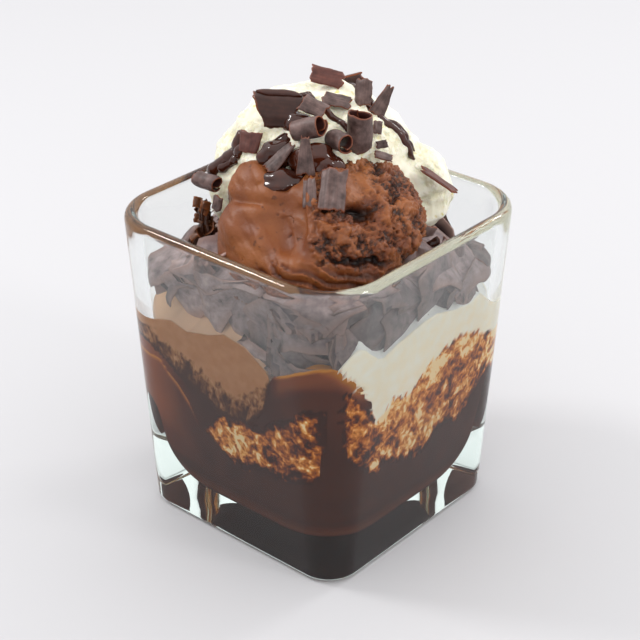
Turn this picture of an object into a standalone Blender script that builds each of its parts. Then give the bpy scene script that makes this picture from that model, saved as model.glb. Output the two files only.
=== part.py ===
"""Dessert shooter: a small square glass of chocolate sauce and ice cream, heaped with
two scoops, sauce drizzle and chocolate curls.

Units are metres, +Z up.  The glass stands on z = 0, centred on the origin, its four
sides facing X and Y.  The toppings are laid out in a serving frame turned about Z: its
+X runs to the right and its +Y away from somebody who looks at the glass's front
corner, the one between +X and -Y.
"""
import math

import bmesh
import bpy
from mathutils import Matrix, Vector, noise

MM = 0.001                 # every size below is in millimetres
GAP = 0.3                  # air left between neighbouring pieces
ROOM = 0.4                 # how much larger a cutter is than the piece it makes room for
PART_NAME = "dessert_shooter"

# The glass: a pressed square tumbler that widens upward.
GLASS_HEIGHT = 81.4
BASE_WIDTH = 63.8
RIM_WIDTH = 75.2
BASE_CORNER = 8.2          # corner radius in plan, at the base
RIM_CORNER = 15.8          # and at the rim
BASE_EDGE = 1.6            # rounding where the sides meet the underside
WALL = 3.4
FLOOR_HEIGHT = 6.8         # thickness of the solid base
FLOOR_FILLET = 11.0        # rounding where the cavity's floor meets its walls
FOOT_WALL = (2.4, 45.0)    # extra wall at the foot, and the height where it has run out
FOOT_ROUNDING = (9.0, 62.0)  # the same for the extra corner radius of the cavity
LIP_HEIGHT = 2.0           # height of the rounding over the rim
OUTER_RINGS = (28.0, 54.0)  # heights where the side walls have a ring of points
CAVITY_RINGS = (25.0, 33.0, 42.0, 52.0, 62.0)
CORNER_STEPS = 6           # faces round each corner
ARC_STEPS = 5              # and round the fillet of the floor

# The filling of the glass.
SAUCE_LEVEL = 45.0
SAUCE_CREST = 16.5         # how much higher the sauce stands at the front corner
CREST_PLACE = (25.0, -33.0)
CREST_REACH = 13.0
SAUCE_RIPPLE = 0.8
SAUCE_SIDE_STEPS = 6       # points along each side of the sauce
SAUCE_SURFACE_RINGS = (0.85, 0.6, 0.3)

# The serving frame: toppings and scoops are placed in it.
SERVING_TURN = 41.0        # degrees about Z

# Helpings of ice cream and heaps of shavings.  Each is an uneven ball: its centre and
# half-sizes, the seed and height of its unevenness, the fineness of its mesh, and its
# relief, the hollows and bulges as direction from the centre, spread and height.
CHOCOLATE_SCOOP = {
    "centre": (0.7, -10.0, 76.5), "half": (24.7, 24.7, 19.4),
    "seed": 3.0, "wobble": 2.2, "detail": 4,
    "relief": (
        ((-0.38, -0.71, 0.59), 0.45, -2.8),     # the scraped hollow on the left
        ((-0.67, 0.06, 0.74), 0.30, 2.0),       # lobe at its upper left
        ((-0.90, -0.26, 0.34), 0.25, 1.2),      # lobe at its left
        ((-0.31, -0.93, 0.21), 0.30, 1.4),      # the turned-over band below
        ((0.75, -0.23, 0.62), 0.35, 1.8),       # the torn block on the right
        ((0.35, -0.66, 0.67), 0.14, -2.4),      # pit in the torn part
        ((0.94, -0.10, 0.25), 0.30, 1.2),       # swelling at the right
        ((0.92, -0.10, -0.35), 0.45, -9.0),     # where it is cut away low on the right
    ),
}
VANILLA_SCOOP = {
    "centre": (-0.7, 10.0, 84.0), "half": (24.8, 24.8, 23.5),
    "seed": 11.0, "wobble": 2.2, "detail": 4,
    "relief": (
        ((-0.55, -0.30, 0.78), 0.30, 1.0),
        ((0.80, -0.20, 0.55), 0.35, 1.0),
        ((0.30, 0.90, 0.30), 0.40, 1.5),
        ((-0.70, 0.65, 0.10), 0.35, -1.2),
    ),
}
VANILLA_SKIRT = {                               # what the scoop squeezed out on the right
    "centre": (21.6, 7.2, 82.0), "half": (10.8, 9.0, 11.5),
    "seed": 17.0, "wobble": 0.8, "detail": 3, "relief": (),
}
SHAVINGS_COLUMN = {                             # sauce-coated shavings left of the scoops
    "centre": (-27.4, -3.0, 73.6), "half": (3.4, 3.6, 11.2),
    "seed": 23.0, "wobble": 1.4, "detail": 3, "relief": (),
}
SHAVINGS_BED = {                                # shavings under both scoops, out to the glass
    "centre": (-2.0, -6.0, 65.5), "half": (40.5, 44.0, 12.5),
    "seed": 29.0, "wobble": 1.6, "detail": 3,
    "relief": (
        ((-0.80, 0.25, 0.50), 0.55, -7.0),      # lower toward the left corner
        ((0.10, 0.80, 0.55), 0.65, -10.0),      # and at the back
        ((0.85, 0.35, 0.35), 0.45, -5.0),       # and toward the right corner
        ((0.05, -0.80, 0.60), 0.40, 2.5),       # heaped up at the front corner
        ((0.75, -0.30, -0.55), 0.50, -6.0),     # room for the vanilla on the right
        ((-0.10, 0.75, -0.60), 0.50, 2.0),
    ),
}

# The two helpings pressed into the glass, placed in the glass's own frame.
LOWER_VANILLA = {
    "centre": (12.0, 0.0, 44.0), "half": (28.0, 36.0, 24.0),
    "seed": 5.0, "wobble": 1.0, "detail": 3,
    "relief": (
        ((0.50, -0.85, 0.0), 0.25, -4.0),       # sauce fills the glass's front corner
        ((0.25, -0.85, 0.50), 0.40, -8.0),      # and stands over the lump beside it
    ),
}
LOWER_CHOCOLATE = {
    "centre": (-9.0, -10.0, 51.0), "half": (27.0, 30.0, 13.0),
    "seed": 7.0, "wobble": 1.0, "detail": 3, "relief": (),
}

# Chocolate curls.  place: the middle of the sheet, or of the roll, in the serving frame;
# along: the axis that the sheet curls around; facing: the way its convex side looks;
# length along the axis; radius and sweep of the curl; taper: how much narrower the far
# end is; flare: how much longer the left side is; sunk: what it is pressed into.
CURLS = (
    {"name": "curl_top_shard", "place": (1.9, 9.9, 109.7),
     "along": (0.97, -0.12, -0.23), "facing": (0.0, -0.78, 0.66),
     "length": 7.8, "radius": 9.0, "sweep": 28, "sunk": "vanilla"},
    {"name": "curl_glossy_trough", "place": (-9.3, -3.2, 107.1),
     "along": (1.0, -0.04, -0.08), "facing": (-0.2, -0.75, 0.65),
     "length": 9.6, "radius": 5.2, "sweep": 96, "flare": -0.7, "sunk": "vanilla"},
    {"name": "curl_bloomed_back", "place": (-1.1, -4.4, 108.1),
     "along": (0.85, -0.33, -0.35), "facing": (-0.1, -0.55, 0.85),
     "length": 6.2, "radius": 3.2, "sweep": 80, "sunk": "vanilla"},
    {"name": "curl_roll_middle", "place": (-2.6, -9.3, 104.8),
     "along": (0.85, -0.39, 0.33), "facing": (0.0, -0.6, 0.8),
     "length": 7.2, "radius": 2.2, "sweep": 330, "taper": -0.1, "sunk": "vanilla"},
    {"name": "curl_flat_back", "place": (4.2, 2.4, 106.6),
     "along": (0.95, -0.1, -0.2), "facing": (0.1, -0.5, 0.85),
     "length": 6.6, "radius": 9.0, "sweep": 27},
    {"name": "curl_petal", "place": (10.2, 4.6, 107.9),
     "along": (0.1, 0.42, 0.9), "facing": (-0.3, -0.87, 0.48),
     "length": 6.2, "radius": 2.6, "sweep": 90, "sunk": "vanilla"},
    {"name": "curl_pointed_shard", "place": (14.9, 5.0, 105.8),
     "along": (0.45, 0.35, 0.82), "facing": (0.5, -0.8, 0.21),
     "length": 7.6, "radius": 7.0, "sweep": 33, "taper": 0.7, "sunk": "vanilla"},
    {"name": "curl_tall_tube", "place": (9.2, -6.2, 102.6),
     "along": (0.0, -0.05, 1.0), "facing": (-0.2, -1.0, 0.0),
     "length": 8.6, "radius": 2.7, "sweep": 335, "flare": -0.3, "sunk": "vanilla"},
    {"name": "curl_small_roll", "place": (4.7, -10.4, 102.1),
     "along": (0.55, -0.83, 0.06), "facing": (0.2, 0.1, 1.0),
     "length": 5.6, "radius": 1.9, "sweep": 330, "sunk": "vanilla"},
    {"name": "curl_wedge_left", "place": (-8.9, -11.6, 98.5),
     "along": (0.69, 0.35, 0.63), "facing": (-0.3, -0.74, 0.52),
     "length": 8.2, "radius": 3.6, "sweep": 60, "taper": 0.5, "sunk": "chocolate"},
    {"name": "curl_wedge_right", "place": (-3.2, -14.6, 100.0),
     "along": (0.0, 0.4, 0.92), "facing": (0.1, -0.87, 0.48),
     "length": 8.6, "radius": 4.5, "sweep": 58, "taper": 0.65, "sunk": "chocolate"},
    {"name": "curl_dark_left", "place": (-8.6, -7.4, 100.4),
     "along": (0.8, 0.24, 0.44), "facing": (-0.3, -0.7, 0.6),
     "length": 4.0, "radius": 3.0, "sweep": 70, "sunk": "vanilla"},
    {"name": "curl_ribbed_front", "place": (3.0, -22.8, 95.5),
     "along": (0.1, 0.72, 0.69), "facing": (0.0, -0.72, 0.69),
     "length": 10.0, "radius": 4.2, "sweep": 78, "sunk": "chocolate"},
    {"name": "curl_ribbed_back", "place": (-2.2, -21.4, 93.9),
     "along": (0.0, 0.72, 0.69), "facing": (-0.4, -0.65, 0.62),
     "length": 7.0, "radius": 3.4, "sweep": 60, "taper": 0.2, "sunk": "chocolate"},
    {"name": "curl_left_shard", "place": (-16.2, -4.2, 98.9),
     "along": (0.2, 0.48, 0.88), "facing": (-0.2, -0.85, 0.5),
     "length": 4.8, "radius": 6.0, "sweep": 40, "taper": -0.3, "sunk": "vanilla"},
    {"name": "curl_left_roll", "place": (-26.2, -2.4, 88.4),
     "along": (0.8, -0.58, -0.02), "facing": (-0.2, 0.2, 1.0),
     "length": 6.0, "radius": 1.6, "sweep": 320},
    {"name": "curl_left_chip", "place": (-24.0, -6.4, 84.5),
     "along": (0.2, 0.1, 0.95), "facing": (-0.6, -0.8, 0.1),
     "length": 3.6, "radius": 2.0, "sweep": 75},
    {"name": "curl_right_shard", "place": (28.1, -1.8, 88.0),
     "along": (0.82, -0.28, -0.5), "facing": (0.3, -0.32, 0.87),
     "length": 9.6, "radius": 10.0, "sweep": 17},
    {"name": "curl_chip_upper", "place": (13.5, -2.6, 102.0),
     "along": (0.1, 0.5, 0.86), "facing": (0.5, -0.7, 0.5),
     "length": 3.0, "radius": 3.0, "sweep": 38},
    {"name": "curl_chip_middle", "place": (14.6, -5.0, 98.8),
     "along": (0.9, 0.2, 0.1), "facing": (0.5, -0.7, 0.6),
     "length": 2.8, "radius": 2.5, "sweep": 40},
    {"name": "curl_chip_lower", "place": (14.8, -8.0, 97.1),
     "along": (1.0, 0.0, -0.3), "facing": (0.3, -0.4, 0.8),
     "length": 4.2, "radius": 4.0, "sweep": 34},
    {"name": "curl_low_right", "place": (25.0, -2.4, 74.2),
     "along": (0.5, 0.3, 0.8), "facing": (0.5, -0.85, 0.1),
     "length": 5.4, "radius": 5.0, "sweep": 56, "sunk": "bed"},
    {"name": "curl_low_stick", "place": (27.0, -6.4, 73.6),
     "along": (0.9, 0.2, 0.45), "facing": (0.0, -0.8, 0.5),
     "length": 4.0, "radius": 1.2, "sweep": 120, "sunk": "bed"},
    {"name": "curl_inner_right_arch", "place": (37.0, 1.6, 65.2),
     "along": (0.3, 0.9, 0.1), "facing": (0.1, -0.1, 1.0),
     "length": 5.0, "radius": 2.8, "sweep": 200, "sunk": "bed"},
    {"name": "curl_inner_right", "place": (31.0, -5.0, 70.0),
     "along": (0.3, 0.4, 0.85), "facing": (0.4, -0.9, 0.2),
     "length": 7.4, "radius": 4.0, "sweep": 75, "sunk": "bed"},
    {"name": "curl_back", "place": (6.7, 33.0, 99.5),
     "along": (0.9, 0.1, 0.2), "facing": (0.1, 0.75, 0.66),
     "length": 9.0, "radius": 5.0, "sweep": 75},
)
CURL_THICKNESS = 0.8
SPIRAL = 0.12              # growth of a curl's radius from one edge to the other
ROLL_GRID = (14, 2)        # faces around and along a rolled curl
SHEET_GRID = (6, 2)        # and an open one
ROLLED_SWEEP = 180         # degrees beyond which a curl is a roll

# Thick drizzle, fused to the scoop it lies on: waypoints as bearing and height angle seen
# from the scoop's centre, in degrees, and the strand's radius.
VANILLA_DRIZZLE = (
    (((27, 69), (-5, 65), (-21, 59), (-23, 45), (-21, 32), (-17, 17)), 0.75),
    (((-148, 36), (-153, 26), (-160, 15), (-164, 8)), 1.3),
    (((60, 62), (75, 48), (82, 34), (85, 24)), 0.8),
)
# Pools of sauce on the chocolate scoop: bearing and height angle in degrees, half-sizes.
CHOCOLATE_POOLS = (
    (-146, 60, (5.2, 3.4, 2.4)),
    (-78, 75, (4.6, 2.6, 1.8)),
)

COLOURS = {
    "clear_glass": (0.90, 0.95, 0.93),
    "chocolate_sauce": (0.050, 0.018, 0.010),
    "vanilla_ice_cream": (0.80, 0.75, 0.56),
    "chocolate_ice_cream": (0.26, 0.11, 0.048),
    "dark_chocolate": (0.085, 0.045, 0.036),
}
ROUGHNESS = {
    "clear_glass": 0.02,
    "chocolate_sauce": 0.12,
    "vanilla_ice_cream": 0.6,
    "chocolate_ice_cream": 0.6,
    "dark_chocolate": 0.5,
}


# ---------------------------------------------------------------------------- helpers
def clear_scene():
    for old in list(bpy.data.objects):
        bpy.data.objects.remove(old, do_unlink=True)


def new_collection(name):
    collection = bpy.data.collections.new(name)
    bpy.context.scene.collection.children.link(collection)
    return collection


def food_material(name):
    """One Principled material for each substance, made once."""
    found = bpy.data.materials.get(name)
    if found:
        return found
    material = bpy.data.materials.new(name)
    material.use_nodes = True
    shader = material.node_tree.nodes["Principled BSDF"]
    shader.inputs["Base Color"].default_value = (*COLOURS[name], 1.0)
    shader.inputs["Roughness"].default_value = ROUGHNESS[name]
    if name == "clear_glass":
        shader.inputs["Transmission Weight"].default_value = 1.0
    return material


def add_object(name, bm, collection, material=None, parent=None):
    """Turn a bmesh that is drawn in millimetres into a named object."""
    bmesh.ops.recalc_face_normals(bm, faces=bm.faces)
    bmesh.ops.scale(bm, vec=Vector((MM, MM, MM)), verts=bm.verts)
    mesh = bpy.data.meshes.new(name)
    bm.to_mesh(mesh)
    bm.free()
    obj = bpy.data.objects.new(name, mesh)
    collection.objects.link(obj)
    if material:
        mesh.materials.append(food_material(material))
        mesh.shade_smooth()
    else:
        obj.hide_render = True
        obj.display_type = 'WIRE'
    obj.parent = parent
    return obj


def boolean(obj, other, operation='DIFFERENCE'):
    modifier = obj.modifiers.new(operation.title() + " " + other.name, 'BOOLEAN')
    modifier.operation = operation
    modifier.solver = 'EXACT'
    modifier.object = other
    return modifier


def apply_modifiers(obj):
    """Replace the object's mesh by what its modifiers make of it."""
    graph = bpy.context.evaluated_depsgraph_get()
    mesh = bpy.data.meshes.new_from_object(obj.evaluated_get(graph))
    obj.modifiers.clear()
    obj.data = mesh


# ---------------------------------------------------------------------------- the glass
def blend(low, high, z):
    """A width of the glass at height z, between its base and rim values."""
    return low + (high - low) * z / GLASS_HEIGHT


def outer_half(z):
    return blend(BASE_WIDTH, RIM_WIDTH, z) / 2


def outer_corner(z):
    return blend(BASE_CORNER, RIM_CORNER, z)


def foot_extra(amount, z):
    """An amount of glass at the foot that runs out smoothly at its height."""
    largest, height = amount
    return largest * max(0.0, 1 - z / height) ** 2


def inner_half(z):
    """The wall thickens toward the foot."""
    return outer_half(z) - WALL - foot_extra(FOOT_WALL, z)


def inner_corner(z):
    """The cavity's corners are rounder than the outside's lower down."""
    return blend(BASE_CORNER + 0.6, RIM_CORNER - WALL, z) + foot_extra(FOOT_ROUNDING, z)


def rounded_square(half, corner, z, side_steps=1):
    """Points of a rounded square at height z, anticlockwise from the +X side."""
    middle = half - corner
    quarter = []
    for step in range(CORNER_STEPS + 1):
        angle = math.pi / 2 * step / CORNER_STEPS
        quarter.append((middle + corner * math.cos(angle), middle + corner * math.sin(angle)))
    for step in range(1, side_steps):
        quarter.append((middle - 2 * middle * step / side_steps, half))
    points = []
    for turn in range(4):
        cos, sin = math.cos(math.pi / 2 * turn), math.sin(math.pi / 2 * turn)
        points += [Vector((x * cos - y * sin, x * sin + y * cos, z)) for x, y in quarter]
    return points


def loft(rings):
    """A closed solid through rings of equal length, with a flat face at each end."""
    bm = bmesh.new()
    rows = [[bm.verts.new(point) for point in ring] for ring in rings]
    count = len(rows[0])
    for low, high in zip(rows, rows[1:]):
        for k in range(count):
            after = (k + 1) % count
            bm.faces.new((low[k], low[after], high[after], high[k]))
    bm.faces.new(reversed(rows[0]))
    bm.faces.new(rows[-1])
    return bm


def wall_ring(gap, z, side_steps=1):
    """A ring one gap inside the cavity's wall."""
    return rounded_square(inner_half(z) - gap, inner_corner(z) - gap, z, side_steps)


def cavity_rings(gap, heights, side_steps=1):
    """Rings one gap inside the cavity: round the fillet of its floor, then at heights."""
    rings = []
    for step in range(ARC_STEPS + 1):
        angle = math.pi / 2 * step / ARC_STEPS
        z = FLOOR_HEIGHT + FLOOR_FILLET * (1 - math.cos(angle)) + gap * math.cos(angle)
        inset = FLOOR_FILLET * (1 - math.sin(angle)) + gap * math.sin(angle)
        rings.append(rounded_square(inner_half(z) - inset, inner_corner(z) - inset, z, side_steps))
    rings += [wall_ring(gap, z, side_steps) for z in heights]
    return rings


def make_glass(collection):
    rings = []
    for degrees in (0, 30, 60, 90):
        angle = math.radians(degrees)
        z = BASE_EDGE * (1 - math.cos(angle))
        inset = BASE_EDGE * (1 - math.sin(angle))
        rings.append(rounded_square(outer_half(z) - inset, outer_corner(z), z))
    for z in OUTER_RINGS:
        rings.append(rounded_square(outer_half(z), outer_corner(z), z))
    shoulder = GLASS_HEIGHT - LIP_HEIGHT
    for degrees in range(0, 181, 30):
        angle = math.radians(degrees)
        z = shoulder + LIP_HEIGHT * math.sin(angle)
        inset = WALL / 2 * (1 - math.cos(angle))
        corner = outer_corner(shoulder) - inset
        rings.append(rounded_square(outer_half(shoulder) - inset, corner, z))
    rings += reversed(cavity_rings(0.0, CAVITY_RINGS))
    return add_object("glass", loft(rings), collection, "clear_glass")


# ---------------------------------------------------------------------------- ice cream
def ripple(direction, seed):
    """Smooth unevenness of about one unit, the same on every run."""
    return noise.fractal(direction * 1.7 + Vector((seed, 0.0, 0.0)), 1.0, 2.0, 3)


def surface_point(shape, direction, grow=0.0):
    """The point of a helping's surface that lies in a direction from its centre."""
    swell = shape["wobble"] * ripple(direction, shape["seed"]) + grow
    for toward, spread, height in shape["relief"]:
        distance = (direction - Vector(toward).normalized()).length
        swell += height * math.exp(-(distance / spread) ** 2)
    half = Vector(shape["half"]) + Vector((swell, swell, swell))
    return Vector(shape["centre"]) + direction * half


def helping(name, shape, collection, material=None, parent=None, grow=0.0):
    bm = bmesh.new()
    bmesh.ops.create_icosphere(bm, subdivisions=shape["detail"], radius=1.0)
    for vert in bm.verts:
        vert.co = surface_point(shape, vert.co.normalized(), grow)
    return add_object(name, bm, collection, material, parent)


def sauce_level(x, y):
    """Height of the sauce's free surface, which stands highest at the front corner."""
    away = math.hypot(x - CREST_PLACE[0], y - CREST_PLACE[1])
    crest = SAUCE_CREST * math.exp(-(away / CREST_REACH) ** 4)
    return SAUCE_LEVEL + crest + SAUCE_RIPPLE * math.sin(0.21 * x) * math.cos(0.17 * y)


def make_sauce(collection):
    """The cavity filled up to the sauce's uneven surface."""
    rings = cavity_rings(GAP, CAVITY_RINGS[:3], SAUCE_SIDE_STEPS)
    edge = []
    for k, guess in enumerate(wall_ring(GAP, SAUCE_LEVEL, SAUCE_SIDE_STEPS)):
        z = sauce_level(guess.x, guess.y)
        edge.append(wall_ring(GAP, z, SAUCE_SIDE_STEPS)[k])
    rings.append(edge)
    for shrink in SAUCE_SURFACE_RINGS:
        inward = [(point.x * shrink, point.y * shrink) for point in edge]
        rings.append([Vector((x, y, sauce_level(x, y))) for x, y in inward])
    return add_object("chocolate_sauce", loft(rings), collection, "chocolate_sauce")


# ---------------------------------------------------------------------------- toppings
def is_rolled(curl):
    return curl["sweep"] > ROLLED_SWEEP


def curl_mesh(curl):
    """A sheet of chocolate bent round its axis, before it gets its thickness."""
    around, down = ROLL_GRID if is_rolled(curl) else SHEET_GRID
    middle = 0.0 if is_rolled(curl) else curl["radius"]
    sweep = math.radians(curl["sweep"])
    bm = bmesh.new()
    bmesh.ops.create_grid(bm, x_segments=around, y_segments=down, size=0.5)
    for vert in bm.verts:
        t, s = vert.co.x, vert.co.y
        width = 1 - curl.get("taper", 0.0) * (s + 0.5)
        angle = sweep * t * width
        radius = curl["radius"] * (1 + SPIRAL * (t + 0.5))
        height = s * curl["length"] * (1 + curl.get("flare", 0.0) * t)
        vert.co = (radius * math.cos(angle) - middle, radius * math.sin(angle), height)
    return bm


def curl_placement(curl):
    """The matrix that lays a curl in its place in the serving frame."""
    axis = Vector(curl["along"]).normalized()
    facing = Vector(curl["facing"])
    facing = (facing - axis * facing.dot(axis)).normalized()
    turn = Matrix((facing, axis.cross(facing), axis)).transposed().to_4x4()
    return Matrix.Translation(Vector(curl["place"]) * MM) @ turn


def thicken(obj, thickness):
    shell = obj.modifiers.new("Thickness", 'SOLIDIFY')
    shell.thickness = thickness * MM
    shell.offset = 0.0


def make_curl(curl, collection, parent):
    obj = add_object(curl["name"], curl_mesh(curl), collection, "dark_chocolate", parent)
    obj.matrix_local = curl_placement(curl)
    thicken(obj, CURL_THICKNESS)


def room_for_curl(curl, collection, parent):
    """A shape one gap larger than a curl, to sink it into the scoop below."""
    if is_rolled(curl):
        bm = bmesh.new()
        radius = curl["radius"] * (1 + SPIRAL) + CURL_THICKNESS / 2 + ROOM
        depth = curl["length"] * (1 + abs(curl.get("flare", 0.0)) / 2) + 2 * ROOM
        bmesh.ops.create_cone(bm, cap_ends=True, segments=ROLL_GRID[0], radius1=radius,
                              radius2=radius, depth=depth)
        room = add_object("room_" + curl["name"], bm, collection, parent=parent)
    else:
        sweep = curl["sweep"] + math.degrees(2 * ROOM / curl["radius"])
        wider = dict(curl, length=curl["length"] + 2 * ROOM, sweep=sweep)
        room = add_object("room_" + curl["name"], curl_mesh(wider), collection, parent=parent)
        thicken(room, CURL_THICKNESS + 2 * ROOM)
    room.matrix_local = curl_placement(curl)
    return room


def direction_of(bearing, height):
    """The direction at a bearing from +X and a height above the horizon, in degrees."""
    bearing, height = math.radians(bearing), math.radians(height)
    return Vector((math.cos(height) * math.cos(bearing),
                   math.cos(height) * math.sin(bearing), math.sin(height)))


def strand(name, scoop, waypoints, radius, collection, parent):
    """A thick thread of sauce laid over a scoop, as a closed mesh."""
    curve = bpy.data.curves.new(name, 'CURVE')
    curve.dimensions = '3D'
    curve.bevel_depth = radius * MM
    curve.bevel_resolution = 1
    curve.use_fill_caps = True
    route = [waypoints[0]]
    for start, end in zip(waypoints, waypoints[1:]):
        halfway = ((start[0] + end[0]) / 2, (start[1] + end[1]) / 2)
        route += [halfway, end]
    spline = curve.splines.new('POLY')
    spline.points.add(len(route) - 1)
    for point, (bearing, height) in zip(spline.points, route):
        place = surface_point(scoop, direction_of(bearing, height))
        point.co = (*(place * MM), 1.0)
    tube = bpy.data.objects.new(name + "_curve", curve)
    collection.objects.link(tube)
    graph = bpy.context.evaluated_depsgraph_get()
    mesh = bpy.data.meshes.new_from_object(tube.evaluated_get(graph))
    bpy.data.objects.remove(tube, do_unlink=True)
    bm = bmesh.new()
    bm.from_mesh(mesh)
    bmesh.ops.remove_doubles(bm, verts=bm.verts, dist=1e-6)
    bmesh.ops.scale(bm, vec=Vector((1 / MM, 1 / MM, 1 / MM)), verts=bm.verts)
    return add_object(name, bm, collection, parent=parent)


def pool_shapes():
    """The pools of sauce, as small helpings that lie on the chocolate scoop."""
    shapes = []
    for number, (bearing, height, half) in enumerate(CHOCOLATE_POOLS):
        place = surface_point(CHOCOLATE_SCOOP, direction_of(bearing, height))
        shapes.append({"centre": place, "half": half, "seed": 40.0 + number,
                       "wobble": 0.3, "detail": 2, "relief": ()})
    return shapes


def fuse(obj, pieces):
    """Join the pieces of a collection to the object, and remove them."""
    modifier = obj.modifiers.new("Fused toppings", 'BOOLEAN')
    modifier.operation = 'UNION'
    modifier.solver = 'EXACT'
    modifier.operand_type = 'COLLECTION'
    modifier.collection = pieces
    bpy.context.view_layer.update()
    apply_modifiers(obj)
    for piece in list(pieces.objects):
        bpy.data.objects.remove(piece, do_unlink=True)
    bpy.data.collections.remove(pieces)


def keep_largest_body(obj):
    """Drop the loose scraps that a cut has left."""
    apply_modifiers(obj)
    bm = bmesh.new()
    bm.from_mesh(obj.data)
    unseen = set(bm.verts)
    bodies = []
    while unseen:
        start = unseen.pop()
        body, queue = {start}, [start]
        while queue:
            for edge in queue.pop().link_edges:
                for vert in edge.verts:
                    if vert in unseen:
                        unseen.remove(vert)
                        body.add(vert)
                        queue.append(vert)
        bodies.append(body)
    bodies.sort(key=len)
    scraps = [vert for body in bodies[:-1] for vert in body]
    bmesh.ops.delete(bm, geom=scraps, context='VERTS')
    bm.to_mesh(obj.data)
    bm.free()


# ---------------------------------------------------------------------------- assembly
def build():
    clear_scene()
    dessert = new_collection(PART_NAME)
    cutters = new_collection("cutters")
    serving = bpy.data.objects.new("serving_frame", None)
    serving.rotation_euler.z = math.radians(SERVING_TURN)
    dessert.objects.link(serving)

    make_glass(dessert)
    inside = cavity_rings(GAP, (*CAVITY_RINGS, GLASS_HEIGHT - LIP_HEIGHT))
    cavity = add_object("cavity_inside", loft(inside), cutters)

    # The scoops on top, with their sauce.
    chocolate = helping("chocolate_scoop", CHOCOLATE_SCOOP, dessert, "chocolate_ice_cream", serving)
    pools = new_collection("chocolate_pools")
    for number, shape in enumerate(pool_shapes()):
        helping("pool_%d" % number, shape, pools, parent=serving)
    fuse(chocolate, pools)

    vanilla = helping("vanilla_scoop", VANILLA_SCOOP, dessert, "vanilla_ice_cream", serving)
    drizzle = new_collection("vanilla_drizzle")
    helping("skirt", VANILLA_SKIRT, drizzle, parent=serving)
    for number, (waypoints, radius) in enumerate(VANILLA_DRIZZLE):
        strand("strand_%d" % number, VANILLA_SCOOP, waypoints, radius, drizzle, serving)
    fuse(vanilla, drizzle)

    # Copies one gap larger, which cut room for their originals.
    room_chocolate = helping("room_chocolate", CHOCOLATE_SCOOP, cutters, parent=serving, grow=ROOM)
    room_vanilla = helping("room_vanilla", VANILLA_SCOOP, cutters, parent=serving, grow=ROOM)
    room_skirt = helping("room_skirt", VANILLA_SKIRT, cutters, parent=serving, grow=ROOM)
    room_bed = helping("room_bed", SHAVINGS_BED, cutters, parent=serving, grow=ROOM)
    room_lower_vanilla = helping("room_lower_vanilla", LOWER_VANILLA, cutters, grow=ROOM)
    room_lower_chocolate = helping("room_lower_chocolate", LOWER_CHOCOLATE, cutters, grow=ROOM)
    room_pools = [helping("room_pool_%d" % number, shape, cutters, parent=serving, grow=ROOM)
                  for number, shape in enumerate(pool_shapes())]

    # The bed of shavings between the scoops and the filling.
    bed = helping("shavings_bed", SHAVINGS_BED, dessert, "dark_chocolate", serving)
    boolean(bed, cavity, 'INTERSECT')
    for room in (room_chocolate, room_vanilla, room_skirt):
        boolean(bed, room)

    # Curls on and in the scoops and the bed, and a column of shavings beside them.
    for room in (room_chocolate, *room_pools):
        boolean(vanilla, room)
    carriers = {"vanilla": vanilla, "chocolate": chocolate, "bed": bed}
    for curl in CURLS:
        make_curl(curl, dessert, serving)
        if "sunk" in curl:
            boolean(carriers[curl["sunk"]], room_for_curl(curl, cutters, serving))
    for carrier in carriers.values():
        keep_largest_body(carrier)
    column = helping("shavings_column", SHAVINGS_COLUMN, dessert, "dark_chocolate", serving)
    for room in (room_vanilla, room_bed, room_lower_chocolate):
        boolean(column, room)
    keep_largest_body(column)

    # The filling of the glass.
    lower_vanilla = helping("lower_vanilla", LOWER_VANILLA, dessert, "vanilla_ice_cream")
    lower_chocolate = helping("lower_chocolate", LOWER_CHOCOLATE, dessert, "chocolate_ice_cream")
    sauce = make_sauce(dessert)
    boolean(lower_vanilla, cavity, 'INTERSECT')
    boolean(lower_chocolate, cavity, 'INTERSECT')
    boolean(lower_vanilla, room_lower_chocolate)
    boolean(sauce, room_lower_vanilla)
    boolean(sauce, room_lower_chocolate)
    for filling in (lower_vanilla, lower_chocolate, sauce):
        for room in (room_chocolate, room_vanilla, room_skirt, room_bed):
            boolean(filling, room)
        keep_largest_body(filling)


build()
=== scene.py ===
# %% [markdown]
# # A dessert in a square glass
# The object is a small pressed glass that holds chocolate sauce and ice cream, with two
# scoops, sauce drizzle and chocolate curls heaped on top.  The solids of the part are
# loaded first.  Each is then replaced by a finer piece of the same form, because a
# faceted solid shows neither the crumb of ice cream nor the ragged edge of a shaving.

# %% Load the frame
import math

import bmesh
import bpy
from mathutils import Matrix, Vector, noise
from mathutils.bvhtree import BVHTree


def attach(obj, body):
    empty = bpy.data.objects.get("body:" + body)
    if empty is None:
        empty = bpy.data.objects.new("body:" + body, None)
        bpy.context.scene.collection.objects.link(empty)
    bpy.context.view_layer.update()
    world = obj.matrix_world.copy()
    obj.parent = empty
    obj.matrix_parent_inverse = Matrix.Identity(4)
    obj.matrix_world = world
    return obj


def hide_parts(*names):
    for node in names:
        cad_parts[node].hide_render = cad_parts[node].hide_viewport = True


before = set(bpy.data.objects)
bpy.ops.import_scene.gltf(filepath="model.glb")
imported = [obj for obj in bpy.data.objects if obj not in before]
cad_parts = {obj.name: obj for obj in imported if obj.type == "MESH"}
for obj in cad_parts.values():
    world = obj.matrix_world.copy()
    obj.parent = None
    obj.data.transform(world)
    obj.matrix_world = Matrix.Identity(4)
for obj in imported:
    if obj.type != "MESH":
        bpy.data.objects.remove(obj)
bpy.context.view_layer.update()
scene = bpy.context.scene
MM = 0.001
print("solids:", len(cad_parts))

# %% [markdown]
# ## Colours and nodes
# Colours are picked as sRGB hex values, as in a paint program, but shaders calculate with
# linear light.  One function converts them.  A second small function adds a shader or
# geometry node with its settings and links, so that each material below reads as a list.


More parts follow.
